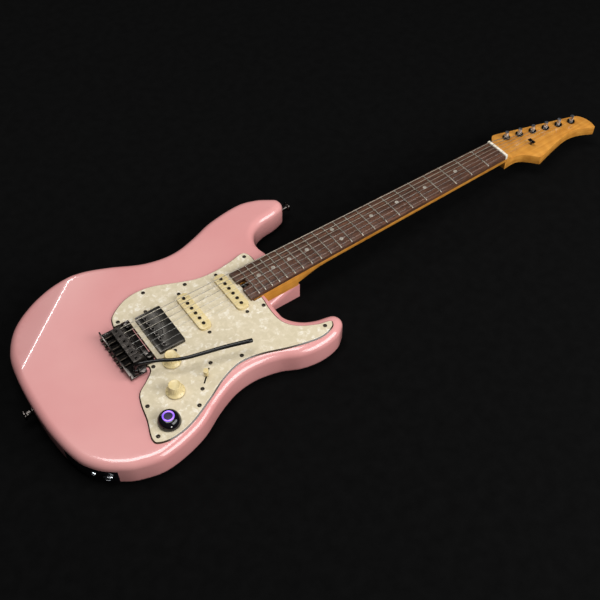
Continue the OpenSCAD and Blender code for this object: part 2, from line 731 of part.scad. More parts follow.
module bridge_plate() {
    color("#2f2d2c") placed() difference() {
        union() {
            linear_extrude_between(plate_z, plate_z + plate_t) polygon([
                [wall_x, -49], [-6, -49], [-3, -40], [plate_front - 3, -40],
                [plate_front, -37], [plate_front, 34], [plate_front - 3, 37], [wall_x, 37]]);
            translate([wall_x - 1.8, -49, plate_z]) cube([1.81, 86, 10]);
        }
        for (s = [-1, 1]) translate([post_x, s * post_span / 2, 30]) {
            cylinder(h = 40, r = 2.6);
            translate([0, -2.6, 0]) cube([10, 5.2, 40]);
        }
        for (i = [0:5]) {
            translate([block_x, string_y(i, saddle_pitch), 30]) cylinder(h = 40, r = 2);
            translate([wall_x - 5, string_y(i, saddle_pitch), plate_z + 4.2]) rotate([0, 90, 0])
                cylinder(h = 10, r = 1.6);
        }
        translate([arm_at.x, arm_at.y, 30]) cylinder(h = 40, r = 3.1);
    }
}

module sustain_block() {
    color("#3b3a3a") placed() difference() {
        translate([block_x - block_w / 2, -block_l / 2, block_foot])
            cube([block_w, block_l, plate_z - block_foot]);
        for (i = [0:5]) translate([block_x, string_y(i, saddle_pitch), 0]) {
            cylinder(h = 60, r = 1.6);
            cylinder(h = 26, r = 2.6);
        }
    }
}

module saddles() {
    color("#3d3a38") placed() for (i = [0:5]) {
        top = saddle_top(i) - string_d[i] / 2 - 0.05;
        y = string_y(i, saddle_pitch);
        difference() {
            translate([0, y + 5.1, 0]) rotate([90, 0, 0]) linear_extrude(10.2) polygon([
                [-15, plate_z + plate_t + 0.8], [3, plate_z + plate_t + 0.8],
                [3, top - 1.2], [0, top], [-4, top - 0.4], [-11, plate_z + plate_t + 6.2],
                [-15, plate_z + plate_t + 6.2]]);
            translate([block_x, y, 40]) cylinder(h = 30, r = 1.6);
            translate([-16, y, plate_z + 4.2]) rotate([0, 90, 0]) cylinder(h = 4, r = 1.35);
            for (s = [-1, 1]) translate([-1.5, y + s * 3.6, 40]) cylinder(h = 30, r = 1.2, $fn = 16);
        }
    }
}

// Two height screws and one intonation screw for each saddle
module saddle_screws() {
    color("#24211f") placed() for (i = [0:5]) {
        y = string_y(i, saddle_pitch);
        for (s = [-1, 1])
            translate([-1.5, y + s * 3.6, plate_z + plate_t]) cylinder(h = 7, r = 1.15, $fn = 16);
        translate([wall_x - 4.8, y, plate_z + 4.2]) rotate([0, 90, 0]) {
            cylinder(h = 2.9, r = 2.6);
            cylinder(h = 18.6, r = 1.25, $fn = 16);
        }
    }
}

module pivot_posts() {
    color("#4a4743") placed() for (s = [-1, 1]) translate([post_x, s * post_span / 2, 0]) {
        translate([0, 0, body_t - 21]) cylinder(h = 21, r = 4.95);
        translate([0, 0, body_t - 0.5]) cylinder(h = 2.2, r = 4.4);
        translate([0, 0, body_t]) cylinder(h = 7, r = 2.1);
        translate([0, 0, 50.9]) cylinder(h = 2, r = 4.6);
    }
}

module arm_collar() {
    color("#57534f") placed() translate([arm_at.x, arm_at.y, 0]) difference() {
        union() {
            translate([0, 0, 46.4]) cylinder(h = 5, r = 3);
            translate([0, 0, plate_z + plate_t]) cylinder(h = 4.5, r = 4.2);
        }
        translate([0, 0, 30]) cylinder(h = 40, r = arm_r + 0.05);
    }
}

// Arm: threaded foot in the collar, thinner rod up to a bend and out over the controls
module tremolo_arm() {
    rod_r = 1.9;
    tip_r = 2.7;
    bend_r = 8;
    over = curve([[-4, -50.3], [11, -57.7], [25, -66.6], [40, -73.6], [56, -78.4],
        [88, -87.3], [123, -99]], 3);
    last = len(over) - 1;
    route = concat(
        [[arm_at.x, arm_at.y, 50]],
        [for (a = [0:15:75])
            let (out = bend_r * (1 - cos(a)))
            [arm_at.x + 0.93 * out, arm_at.y - 0.37 * out, arm_z - bend_r + bend_r * sin(a)]],
        [for (p = over) [p.x, p.y, arm_z]]);
    color("#141416") placed() {
        translate([arm_at.x, arm_at.y, 46.6]) cylinder(h = 6.4, r = arm_r);
        tube(route, [for (k = [-7:last]) rod_r + (tip_r - rod_r) * max(0, k) / last], 16);
    }
}

module tremolo_springs() {
    color("#b9bcbf") placed() for (y = spring_y)
        translate([block_x + block_w / 2 + 0.5, y, spring_z]) rotate([0, 90, 0]) difference() {
            cylinder(h = claw_x - block_x - block_w / 2 - 1, r = 3.9);
            translate([0, 0, -1]) cylinder(h = 200, r = 3.1);
        }
}

module spring_claw() {
    color("#a7aaad") placed() difference() {
        translate([claw_x, -30, 5]) cube([2, 60, 11]);
        for (s = [-1, 1])
            translate([claw_x - 1, s * 24, spring_z]) rotate([0, 90, 0]) cylinder(h = 4, r = 2.2);
    }
}

module claw_screws() {
    color("#b9bcbf") placed() for (s = [-1, 1]) translate([claw_x - 2.5, s * 24, spring_z])
        rotate([0, 90, 0]) {
            cylinder(h = 2.4, r = 4);
            cylinder(h = 19, r = 2.1);
        }
}

module back_plate() {
    color("#1c1c1f") placed() difference() {
        translate([36, 0, 0]) slab(166, 90, 2, 6);
        for (p = back_screw_sites()) translate([p.x, p.y, -1]) {
            cylinder(h = 5, r = 1.5, $fn = 16);
            cylinder(h = 2.2, r = 2.6, $fn = 24);
        }
        for (i = [0:5])
            translate([block_x, string_y(i, saddle_pitch), -1]) cylinder(h = 4, r = 4);
    }
}

// Turned to the row of tuners, at post i
module at_tuner(i) {
    translate([post_at(i).x, post_at(i).y, 0]) rotate([0, 0, -tuner_lean]) children();
}

worm_z = 20;
head_back_z = head_face_z - head_t;

module tuner_housings() {
    color("#303236") placed() for (i = [0:5]) at_tuner(i) difference() {
        translate([0, 2, 13.4]) slab(15, 20, head_back_z - 13.4, 3);
        translate([0, 0, 14.5]) cylinder(h = 30, r = 3.15);
        translate([0, 0, 14.9]) cylinder(h = 9.2, r = 5.2);
        translate([5.4, -4.8, worm_z]) rotate([-90, 0, 0]) cylinder(h = 40, r = 1.75);
        translate([5.4, -4.4, worm_z]) rotate([-90, 0, 0]) cylinder(h = 8.8, r = 2.5);
    }
}

module tuner_bushings() {
    color("#2c2d30") placed() for (i = [0:5]) at_tuner(i) difference() {
        union() {
            translate([0, 0, head_face_z - 7]) cylinder(h = 7.1, r = 4.95);
            translate([0, 0, head_face_z + 0.02]) cylinder(h = 2.2, r = 6.2);
        }
        translate([0, 0, 0]) cylinder(h = 60, r = 3.1);
    }
}

// String post with its gear; the post stands 12 mm out of the headstock's face
module string_post(i) {
    color("#c8cacc") placed() at_tuner(i - 1) difference() {
        union() {
            translate([0, 0, 15]) cylinder(h = head_face_z + 12 - 15, r = 3.05);
            translate([0, 0, 18.2]) cylinder(h = 3.6, r = 2.85);
            translate([0, 0, 15]) cylinder(h = 2, r = 5);
        }
        translate([-5, 0, head_face_z + 7]) rotate([0, 90, 0]) cylinder(h = 10, r = 0.8, $fn = 16);
    }
}

// Key: the worm's shaft with the button on its outer end
module tuner_key(i) {
    color("#3a3c40") placed() at_tuner(i - 1) translate([5.4, 0, worm_z]) {
        rotate([-90, 0, 0]) {
            translate([0, 0, -4.2]) cylinder(h = 8.4, r = 2.3);
            cylinder(h = 24, r = 1.7);
            translate([0, 0, 15.5]) cylinder(h = 3, r1 = 3.5, r2 = 2.6);
        }
        translate([0, 26.5, -4]) linear_extrude(8)
            polygon([for (a = [0:15:345]) [9 * cos(a), 7 * sin(a)]]);
    }
}

tree_at = [712.5, -13.5];

module string_tree() {
    color("#c8cacc") placed() translate([tree_at.x, tree_at.y, head_face_z]) {
        cylinder(h = 6.5, r = 1.8, $fn = 24);
        translate([0, 0, -7.5]) cylinder(h = 8, r = 1.1, $fn = 16);
        translate([-3, -6, 6.4]) cube([6, 12, 1]);
    }
}

// Strings from saddle to nut, and down to the side of each post
module strings() {
    color("#d5d7d8") placed() for (i = [0:5]) {
        r = string_d[i] / 2;
        post = post_at(i);
        tube([[1, string_y(i, saddle_pitch), saddle_top(i)],
            [scale_len, string_y(i, nut_pitch), nut_string_z(i)],
            [scale_len + 4, string_y(i, nut_pitch), nut_string_z(i)],
            [post.x, post.y - 3.4 - r, head_face_z + 5]], [r, r, r, r], 8);
    }
}

body();
neck();
fretboard();
frets();
position_dots();
nut();
truss_rod();
neck_plate();
neck_bolts();
pickguard();
cover_screws();
single_coil_covers();
pickup_bobbins();
single_coil_poles();
humbucker_cover();
humbucker_poles();
machine_screws();
potentiometers();
volume_knob();
tone_knob();
dome_knob();
light_ring();
dome_button();
dome_encoder();
selector_frame();
selector_lever();
selector_tip();
control_board();
battery_pack();
socket_panel();
output_jack();
phones_socket();
strap_buttons();
bridge_plate();
sustain_block();
saddles();
saddle_screws();
pivot_posts();
arm_collar();
tremolo_arm();
tremolo_springs();
spring_claw();
claw_screws();
back_plate();
tuner_housings();
tuner_bushings();
string_tree();
strings();
string_post(1);  // string_post_1
string_post(2);  // string_post_2
string_post(3);  // string_post_3
string_post(4);  // string_post_4
string_post(5);  // string_post_5
string_post(6);  // string_post_6
tuner_key(1);  // tuner_key_1
tuner_key(2);  // tuner_key_2
tuner_key(3);  // tuner_key_3
tuner_key(4);  // tuner_key_4
tuner_key(5);  // tuner_key_5
tuner_key(6);  // tuner_key_6
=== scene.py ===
import json
import math

import bmesh
import bpy
import numpy as np
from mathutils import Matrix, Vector
from mathutils.geometry import delaunay_2d_cdt

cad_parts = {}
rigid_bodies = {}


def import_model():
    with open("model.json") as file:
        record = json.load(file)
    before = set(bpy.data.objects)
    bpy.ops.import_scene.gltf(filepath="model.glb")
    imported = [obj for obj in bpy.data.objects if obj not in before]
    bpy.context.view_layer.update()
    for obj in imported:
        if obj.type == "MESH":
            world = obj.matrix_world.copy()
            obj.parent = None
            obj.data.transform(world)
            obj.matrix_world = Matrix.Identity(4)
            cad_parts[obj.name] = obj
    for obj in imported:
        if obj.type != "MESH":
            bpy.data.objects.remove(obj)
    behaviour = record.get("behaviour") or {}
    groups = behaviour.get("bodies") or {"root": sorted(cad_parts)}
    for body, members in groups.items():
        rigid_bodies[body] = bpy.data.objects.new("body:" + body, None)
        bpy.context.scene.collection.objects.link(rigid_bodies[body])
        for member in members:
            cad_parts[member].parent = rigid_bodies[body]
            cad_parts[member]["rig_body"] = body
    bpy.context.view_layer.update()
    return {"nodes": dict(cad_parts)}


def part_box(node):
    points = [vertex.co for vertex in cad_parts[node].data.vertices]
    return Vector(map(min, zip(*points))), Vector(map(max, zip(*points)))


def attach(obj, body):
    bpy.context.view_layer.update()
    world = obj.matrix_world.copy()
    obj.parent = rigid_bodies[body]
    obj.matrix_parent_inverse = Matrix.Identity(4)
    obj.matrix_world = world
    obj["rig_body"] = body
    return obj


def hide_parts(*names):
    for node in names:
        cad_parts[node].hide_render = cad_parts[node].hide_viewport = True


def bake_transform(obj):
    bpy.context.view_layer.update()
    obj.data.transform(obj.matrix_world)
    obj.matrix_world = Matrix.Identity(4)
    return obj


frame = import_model()

# ---- Camera, floor and lights ----
# The guitar lies on its back on black studio cloth. It is seen from above its treble side, from
# behind the bridge, with a normal lens and a slight roll.
LENS = 53.26
SENSOR = 36


def put(name, data):
    """A new object in the scene that shows this data."""
    thing = bpy.data.objects.new(name, data)
    bpy.context.scene.collection.objects.link(thing)
    return thing


camera = put("camera", bpy.data.cameras.new("camera"))
camera.data.lens = LENS
camera.data.sensor_width = SENSOR
camera.location = (-0.5528, -0.6985, 0.9830)
camera.rotation_euler = [math.radians(turn) for turn in (39.463, 0.404, -35.338)]
bpy.context.scene.camera = camera


def linear(code):
    """The linear colour of an sRGB hex code, by the standard's two-part curve."""
    c = np.array([int(code[i:i + 2], 16) for i in (1, 3, 5)]) / 255
    return (*np.where(c <= 0.04045, c / 12.92, ((c + 0.055) / 1.055) ** 2.4).tolist(), 1.0)


def plug(source, socket):
    """Links an output, or a node's first output, to an input, or sets the input's value."""
    if isinstance(source, bpy.types.Node):
        source = source.outputs[0]
    if isinstance(source, bpy.types.NodeSocket):
        socket.id_data.links.new(source, socket)
    else:
        socket.default_value = source


def add(tree, kind, inputs={}, stops=(), **settings):
    """A new node with its settings, its inputs (values, or what to link) and a ramp's stops."""
    node = tree.nodes.new("ShaderNode" + kind)
    for name, value in settings.items():
        setattr(node, name, value)
    for name, value in inputs.items():
        plug(value, node.inputs[name])
    for k, (place, code) in enumerate(stops):
        ends = {0: 0, len(stops) - 1: -1}
        elements = node.color_ramp.elements
        element = elements[ends[k]] if k in ends else elements.new(place)
        element.position = place
        element.color = linear(code)
    return node


def feed(shader, **inputs):
    """Plugs constants, nodes or outputs into the shader's inputs of those names."""
    for name, value in inputs.items():
        plug(value, shader.inputs[name.replace("_", " ")])


def start_finish(name, **constants):
    """A new material: its node tree, its shader with these constants, and Object coordinates."""
    finish = bpy.data.materials.new(name)
    finish.use_nodes = True
    shader = finish.node_tree.nodes["Principled BSDF"]
    feed(shader, **constants)
    coords = add(finish.node_tree, "TexCoord").outputs["Object"]
    return finish, finish.node_tree, shader, coords


def studio_cloth():
    """Matt black cloth: a fibre mottle that only just shows."""
    finish, tree, shader, coords = start_finish(
        "studio_cloth", Roughness=1.0, Specular_IOR_Level=0.1)
    fibres = add(tree, "TexNoise", {"Vector": coords, "Scale": 60, "Detail": 4})
    tint = add(tree, "ValToRGB", {"Fac": fibres}, [(0.3, "#020202"), (0.7, "#050505")])
    feed(shader, Base_Color=tint)
    return finish


def new_piece(name, points, faces, finish):
    """A smooth-shaded mesh object from points in metres and faces of point numbers."""
    mesh = bpy.data.meshes.new(name)
    mesh.from_pydata(np.asarray(points, float).tolist(), [], [list(f) for f in faces])
    mesh.materials.append(finish)
    mesh.shade_smooth()
    return put(name, mesh)


FLOOR_REACH = 12.0
FLOOR_GAP = 0.0002
corners = [(x, y, -FLOOR_GAP) for x, y in ((-1, -1), (1, -1), (1, 1), (-1, 1))]
floor = new_piece("studio_floor", np.array(corners) * (FLOOR_REACH, FLOOR_REACH, 1),
                  [(0, 1, 2, 3)], studio_cloth())


def softbox(name, place, aim, width, height, watts):
    """A rectangular area light at place, turned to face aim."""
    light = put(name, bpy.data.lights.new(name, "AREA"))
    light.data.shape = "RECTANGLE"
    light.data.size = width
    light.data.size_y = height
    light.data.energy = watts
    light.location = place
    light.rotation_euler = (Vector(aim) - Vector(place)).to_track_quat("-Z", "Y").to_euler()


softbox("key_softbox", (0.6, -1.5, 1.0), (-0.1, 0, 0), 1.8, 1.2, 40)
softbox("overhead_softbox", (-0.3, 0.1, 2.2), (-0.1, 0, 0), 1.2, 1.2, 30)
softbox("crease_strip", (-0.39, 1.5, 1.26), (-0.41, 0.1, 0.04), 0.7, 0.1, 5)
world = bpy.data.worlds.new("studio")
world.use_nodes = True
world.node_tree.nodes["Background"].inputs["Color"].default_value = linear("#dfe3ea")
world.node_tree.nodes["Background"].inputs["Strength"].default_value = 0.06
bpy.context.scene.view_settings.view_transform = "Standard"
bpy.context.scene.world = world

# ---- Body ----
# A solid alder body under gloss pink lacquer. It is band-sawn to its outline, routed for the
# electrics and the neck, rounded over all round, and carved for the forearm and the belly.
SCALE_LENGTH = 648
saddle_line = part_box("nut")[0].x * 1000 - SCALE_LENGTH
centre_line = (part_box("nut")[0].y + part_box("nut")[1].y) * 500
body_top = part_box("pickguard")[0].z * 1000


def placed(points):
    """Points in millimetres about the saddle line, as metres in the object's frame."""
    return (np.asarray(points, float) + (saddle_line, centre_line, 0)) / 1000


def curve(points, steps):
    """A smooth curve through the points: each span is a cubic whose end slopes are the chords
    beside it, weighted by their lengths."""
    p = np.asarray(points, float)
    chord = np.linalg.norm(np.diff(p, axis=0), axis=1)[:, None]
    inner = (p[2:] - p[:-2]) / (chord[1:] + chord[:-1])
    slope = np.vstack([(p[1:2] - p[:1]) / chord[0], inner, (p[-1:] - p[-2:-1]) / chord[-1]])
    t = (np.arange(steps) / steps)[None, :, None]
    start, end = p[:-1, None], p[1:, None]
    leave, arrive = (slope[:-1] * chord)[:, None], (slope[1:] * chord)[:, None]
    spans = (start * (2 * t**3 - 3 * t**2 + 1) + end * (3 * t**2 - 2 * t**3)
             + leave * (t**3 - 2 * t**2 + t) + arrive * (t**3 - t**2))
    return np.vstack([spans.reshape(-1, p.shape[1]), p[-1:]])


def unit(v):
    """Vectors scaled to length one."""
    return v / np.maximum(np.linalg.norm(v, axis=-1, keepdims=True), 1e-12)


def inward(outline):
    """Inward normals of a closed anticlockwise outline: the mean of the two edge directions,
    turned a quarter turn to the left."""
    ahead = unit(np.roll(outline, -1, 0) - outline)
    mean = unit(ahead + np.roll(ahead, 1, 0))
    return np.stack([-mean[:, 1], mean[:, 0]], 1)


HEEL_X = 248
HEEL_HALF = 28.2
body_curve = curve([
    (233, 36), (233, 52), (237, 70), (248, 85), (265, 93), (288, 96),
    (305, 101), (310.4, 105.5), (313, 112), (311.5, 120.8), (305, 127), (284, 140), (255, 147),
    (202, 140), (165, 127), (135, 119), (110, 119), (80, 127), (40, 148), (2, 163),
    (-40, 167), (-80, 156), (-115, 132), (-137, 95), (-145, 55), (-148, 0),
    (-146, -55), (-136, -105), (-122, -129), (-103, -146), (-82, -158), (-46, -166),
    (9, -155), (51, -133), (82, -121), (113, -118), (147, -125), (175, -138),
    (205, -143), (232, -139), (247, -129), (250.8, -124.1), (252, -118), (249.3, -110.6),
    (243, -106), (223, -101), (206, -92), (193, -77), (189, -60), (188, -36)], 8)
body_outline = np.vstack([body_curve, [(188, -HEEL_HALF), (HEEL_X, -HEEL_HALF),
                                       (HEEL_X, HEEL_HALF), (233, HEEL_HALF)]])


def softly(x, width):
    """max(x, 0) with its corner rounded over about width: width * ln(1 + exp(x / width))."""
    return width * np.logaddexp(0, x / width)


CREASE_FROM = np.array((-16, 158))
CREASE_OUT = np.array((math.cos(math.radians(132)), math.sin(math.radians(132))))
FOREARM_SLOPE, BELLY_SLOPE = math.tan(math.radians(13)), math.tan(math.radians(17))


def forearm_drop(x, y):
    """How far the front is planed down: a 13 degree plane beyond a crease that runs across the
    bass side of the tail, with the crease sanded soft."""
    beyond = (x - CREASE_FROM[0]) * CREASE_OUT[0] + (y - CREASE_FROM[1]) * CREASE_OUT[1]
    return FOREARM_SLOPE * softly(beyond, 1.6)


def belly_rise(x, y):
    """How far the back is scooped up: a wide round cutter, tipped 17 degrees, at the waist."""
    return softly(BELLY_SLOPE * (y - 86) - (x - 110) ** 2 / 300, 1.2)


def cap(ring, spacing, height):
    """A flat region filled with triangles: the ring's points and a grid inside it, each lifted
    to height(x, y). A grid point is inside where a ray to its right crosses the ring oddly. Rows
    beside the forearm's crease are closer together, so that it shades evenly."""
    low, high = ring.min(0), ring.max(0)
    grid = np.stack(np.meshgrid(np.arange(low[0], high[0], spacing),
                                np.arange(low[1], high[1], spacing)), -1).reshape(-1, 2)
    away = (grid - CREASE_FROM) @ CREASE_OUT
    along, across = np.meshgrid(np.arange(-200, 4, 4), np.arange(-9, 9.1, 1.5))
    rows = (CREASE_FROM + along[..., None] * (CREASE_OUT[1], -CREASE_OUT[0])
            + across[..., None] * CREASE_OUT).reshape(-1, 2)
    grid = np.vstack([grid[abs(away) > 10], rows])
    a, b = ring, np.roll(ring, -1, 0)
    x, y = grid[:, :1], grid[:, 1:]
    crosses = (a[:, 1] > y) != (b[:, 1] > y)
    rise = np.where(b[:, 1] == a[:, 1], 1, b[:, 1] - a[:, 1])
    hit = a[:, 0] + (y - a[:, 1]) * (b[:, 0] - a[:, 0]) / rise
    inside = ((crosses & (hit > x)).sum(1) % 2) == 1
    far = np.linalg.norm(grid[:, None] - ring[None], axis=2).min(1) > 2
    points = np.vstack([ring, grid[inside & far]])
    found = delaunay_2d_cdt([Vector(p) for p in points.tolist()], [], [list(range(len(ring)))],
                            1, 1e-6)
    flat = np.array([tuple(p) for p in found[0]])
    return np.column_stack([flat, height(flat[:, 0], flat[:, 1])]), found[2]


def grid_faces(rows, columns, round_rows=False, round_columns=False):
    """Quads between the points of a grid, row by row, with either direction closed on itself."""
    r = np.arange(rows if round_rows else rows - 1)[:, None]
    c = np.arange(columns if round_columns else columns - 1)[None]
    up, on = (r + 1) % rows, (c + 1) % columns
    corners = (r * columns + c, r * columns + on, up * columns + on, up * columns + c)
    return np.stack([np.broadcast_to(k, (r.size, c.size)) for k in corners], -1).reshape(-1, 4)


def capped(rings):
    """Points and faces of a closed bar, from rings of points that each go round it once."""
    rows, sides = len(rings), len(rings[0])
    ends = [list(range(sides))[::-1], list(range((rows - 1) * sides, rows * sides))]
    return np.vstack(rings), ends + grid_faces(rows, sides, round_columns=True).tolist()


def upright(outline, low, high):
    """Points and faces of a straight-sided solid on an anticlockwise outline."""
    return capped([np.column_stack([outline, np.full(len(outline), z)]) for z in (low, high)])


def joined(parts):
    """One list of points and one of faces, from (points, faces) pairs."""
    counts = np.cumsum([0] + [len(points) for points, _ in parts])
    faces = [[int(i) + start for i in face]
             for start, (_, group) in zip(counts, parts) for face in group]
    return np.vstack([points for points, _ in parts]), faces


def welded(piece, gap, outwards=False):
    """Merges points of a mesh that lie within gap metres, and may turn its faces outwards."""
    work = bmesh.new()
    work.from_mesh(piece.data)
    bmesh.ops.remove_doubles(work, verts=work.verts, dist=gap)
    if outwards:
        bmesh.ops.recalc_face_normals(work, faces=work.faces)
    work.to_mesh(piece.data)
    work.free()
    return piece


def closed_piece(name, points, faces, finish, crease, gap=1e-6):
    """A welded solid, its edges sharper than crease degrees kept sharp."""
    piece = welded(new_piece(name, points, faces, finish), gap, outwards=True)
    piece.data.set_sharp_from_angle(angle=math.radians(crease))
    return piece


def settle(piece, crease=35):
    """Applies a piece's modifiers, and keeps edges sharper than crease degrees sharp."""
    graph = bpy.context.evaluated_depsgraph_get()
    mesh = bpy.data.meshes.new_from_object(piece.evaluated_get(graph))
    piece.modifiers.clear()
    piece.data = mesh
    mesh.shade_smooth()
    mesh.set_sharp_from_angle(angle=math.radians(crease))
    return piece


def rounded_blank(outline, radius, top, foot, steps=8):
    """A plate with a rounded rim: rings of the outline, moved in by radius * (1 - sin a) and
    dropped by radius * (1 - cos a) from the surfaces top(x, y) and foot(x, y)."""
    turn = np.linspace(0, math.pi / 2, steps)
    rings = []
    for sign, level in ((-1, top), (1, foot)):
        angles = turn if sign < 0 else turn[::-1]
        for a in angles:
            xy = outline + (radius * (1 - math.sin(a)))[:, None] * inward(outline)
            drop = sign * radius * (1 - math.cos(a))
            rings.append(np.column_stack([xy, level(xy[:, 0], xy[:, 1]) + drop]))
    count = len(outline)
    side = (np.vstack(rings), grid_faces(len(rings), count, round_columns=True)[:, ::-1])
    front, front_faces = cap(rings[0][:, :2], 7, top)
    back, back_faces = cap(rings[-1][:, :2], 7, foot)
    return joined([side, (front, front_faces), (back, [face[::-1] for face in back_faces])])


def slab(x, y, length, width, radius, steps=6):
    """A rectangle with rounded corners about (x, y): four quarter turns, one at each corner."""
    turns = np.radians(np.arange(4)[:, None] * 90 + np.linspace(0, 90, steps)[None])
    corner = np.array([(1, 1), (-1, 1), (-1, -1), (1, -1)])[:, None]
    middle = corner * (length / 2 - radius, width / 2 - radius)
    arc = radius * np.stack([np.cos(turns), np.sin(turns)], -1)
    return (middle + arc).reshape(-1, 2) + (x, y)


def box_outline(x0, x1, y0, y1):
    """A rectangle's outline from its sides."""
    return np.array([(x0, y0), (x1, y0), (x1, y1), (x0, y1)], float)


def gloss_lacquer():
    """Two-pack pink lacquer, flatted and buffed: a deep even colour under a clear coat that
    mirrors the lights, with a trace of orange peel about 1.5 mm across."""
    finish, tree, shader, coords = start_finish(
        "gloss_lacquer", Roughness=0.3, IOR=1.5, Coat_Weight=1.0, Coat_Roughness=0.08)
    cloud = add(tree, "TexNoise", {"Vector": coords, "Scale": 9, "Detail": 3})
    colour = add(tree, "ValToRGB", {"Fac": cloud},
                 [(0.3, "#d89390"), (0.5, "#db9996"), (0.7, "#de9f9b")])
    peel = add(tree, "TexNoise", {"Vector": coords, "Scale": 650, "Detail": 1})
    wave = add(tree, "Bump", {"Height": peel, "Strength": 0.03, "Distance": 0.0002})
    feed(shader, Base_Color=colour, Coat_Normal=wave)
    return finish


def edge_site(number, out, z):
    """A place at the outline's point of that number, moved out by so many millimetres."""
    return np.append(body_outline[number] - out * inward(body_outline)[number], z)


def cutter(name, points, faces):
    """A solid to cut with, from points in millimetres about the saddle line."""
    return welded(new_piece(name, placed(points), faces, None), 1e-7, outwards=True)


def drill(name, start, end, radius, sides=32):
    """A round cutter between two points in millimetres."""
    start, end = np.asarray(start, float), np.asarray(end, float)
    along = unit(end - start)
    across = unit(np.cross((0.2, 0.3, 1) if abs(along[2]) < 0.9 else (0, 1, 0.1), along))
    turn = np.linspace(0, 2 * math.pi, sides, endpoint=False)[:, None]
    ring = radius * (np.cos(turn) * across + np.sin(turn) * np.cross(along, across))
    return cutter(name, *capped([start + ring, end + ring]))


RIM_RADIUS = 11
HEEL_RIM = 1.5
from_heel = np.minimum(np.arange(len(body_outline)), len(body_curve) - 1
                       - np.arange(len(body_outline)))
rim = np.minimum(RIM_RADIUS, HEEL_RIM + 0.8 * np.maximum(0, from_heel))
blank = rounded_blank(body_outline, rim, lambda x, y: body_top - forearm_drop(x, y), belly_rise)
body = welded(new_piece("lacquered_body", placed(blank[0]), blank[1], gloss_lacquer()), 1e-6)

PANEL_ENDS = (212, 232)
JACK_POINT = 228
PHONES_POINT = 222
PANEL_LOW, PANEL_HIGH, PANEL_DEPTH = 6, 32, 2
panel_middle = (PANEL_LOW + PANEL_HIGH) / 2
panel_span = slice(PANEL_ENDS[0], PANEL_ENDS[1] + 1)
panel_in = (body_outline + PANEL_DEPTH * inward(body_outline))[panel_span]
panel_out = (body_outline - 6 * inward(body_outline))[panel_span]
control_cavity = [(-36, -106), (-40, -134), (-16, -144), (30, -127), (84, -100), (84, -58),
                  (66, -40), (12, -40), (-3, -61), (-24, -75)]
THROUGH = 60
routes = [
    (box_outline(172, 268, -HEEL_HALF, HEEL_HALF), 26.8, THROUGH),
    (box_outline(188.1, 268, -45, 0), 26.8, THROUGH),
    (box_outline(233.1, 268, 0, 45), 26.8, THROUGH),
    (box_outline(167, 177, -9, 9), 33, THROUGH),
    (slab(93, 0, 25, 94, 6), 24.5, THROUGH),
    (slab(152.8, 0, 25, 94, 6), 24.5, THROUGH),
    (slab(40.5, 0, 46, 94, 6), 24.5, THROUGH),
    (slab(-10, 0, 32, 74, 6), -1, THROUGH),
    (np.array(control_cavity, float), 6, THROUGH),
    (box_outline(-27, 113, -34, 34), -1, 17),
    (slab(36, 0, 166, 90, 6), -1, 2),
    (slab(210, 0, 64.4, 50.4, 6.2), -1, 2),
    (np.vstack([panel_out, panel_in[::-1]]), PANEL_LOW, PANEL_HIGH),
]
cutters = [cutter(f"route_{k}", *upright(*route)) for k, route in enumerate(routes)]
for point, radius, depth in ((JACK_POINT, 9.5, 72), (PHONES_POINT, 6.5, 60)):
    cutters.append(drill(f"bore_{point}", edge_site(point, -depth, panel_middle),
                         edge_site(point, 0.5, panel_middle), radius))
for side in (-30, 30):
    cutters.append(drill(f"post_hole_{side}", (8.3, side, 22), (8.3, side, THROUGH), 5))
for tool in cutters:
    cut = body.modifiers.new("route", "BOOLEAN")
    cut.operation = "DIFFERENCE"
    cut.solver = "EXACT"
    cut.object = tool
settle(body, 38)
for tool in cutters:
    bpy.data.objects.remove(tool)
body.data.materials.clear()
body.data.materials.append(bpy.data.materials["gloss_lacquer"])


def fitted(piece, body_name, slot, *nodes):
    """Puts a piece on its body in place of its CAD nodes. The slot is not used."""
    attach(piece, body_name)
    if nodes:
        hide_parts(*nodes)


fitted(body, "root", "body_paint", "body")

# ---- Neck ----
# One piece of roasted maple, routed to a flat-sided heel, shaved to a C-shaped back and cut to its
# headstock. Four bolts through the body hold it in its pocket.


def bare_copy(node, name, finish):
    """A CAD node's mesh in a new object, and in an open edit mesh whose triangles are merged
    into whole faces."""
    mesh = frame["nodes"][node].data.copy()
    mesh.materials.clear()
    mesh.materials.append(finish)
    for stale in ("custom_normal", "sharp_edge", "sharp_face"):
        if stale in mesh.attributes:
            mesh.attributes.remove(mesh.attributes[stale])
    work = bmesh.new()
    work.from_mesh(mesh)
    bmesh.ops.remove_doubles(work, verts=work.verts, dist=2e-6)
    bmesh.ops.dissolve_limit(work, angle_limit=math.radians(0.5), verts=work.verts,
                             edges=work.edges)
    return put(name, mesh), work


def eased(node, name, finish, slot, edge, crease=35):
    """A copy of a CAD node as a made piece, in its place and on its body: its sharp edges
    broken by edge millimetres, its round walls smooth."""
    piece, work = bare_copy(node, name, finish)
    work.to_mesh(piece.data)
    work.free()
    bevel = piece.modifiers.new("broken_edges", "BEVEL")
    bevel.width = edge / 1000
    bevel.segments = 2
    bevel.limit_method = "ANGLE"
    bevel.angle_limit = math.radians(crease)
    fitted(settle(piece, crease), frame["nodes"][node]["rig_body"], slot, node)


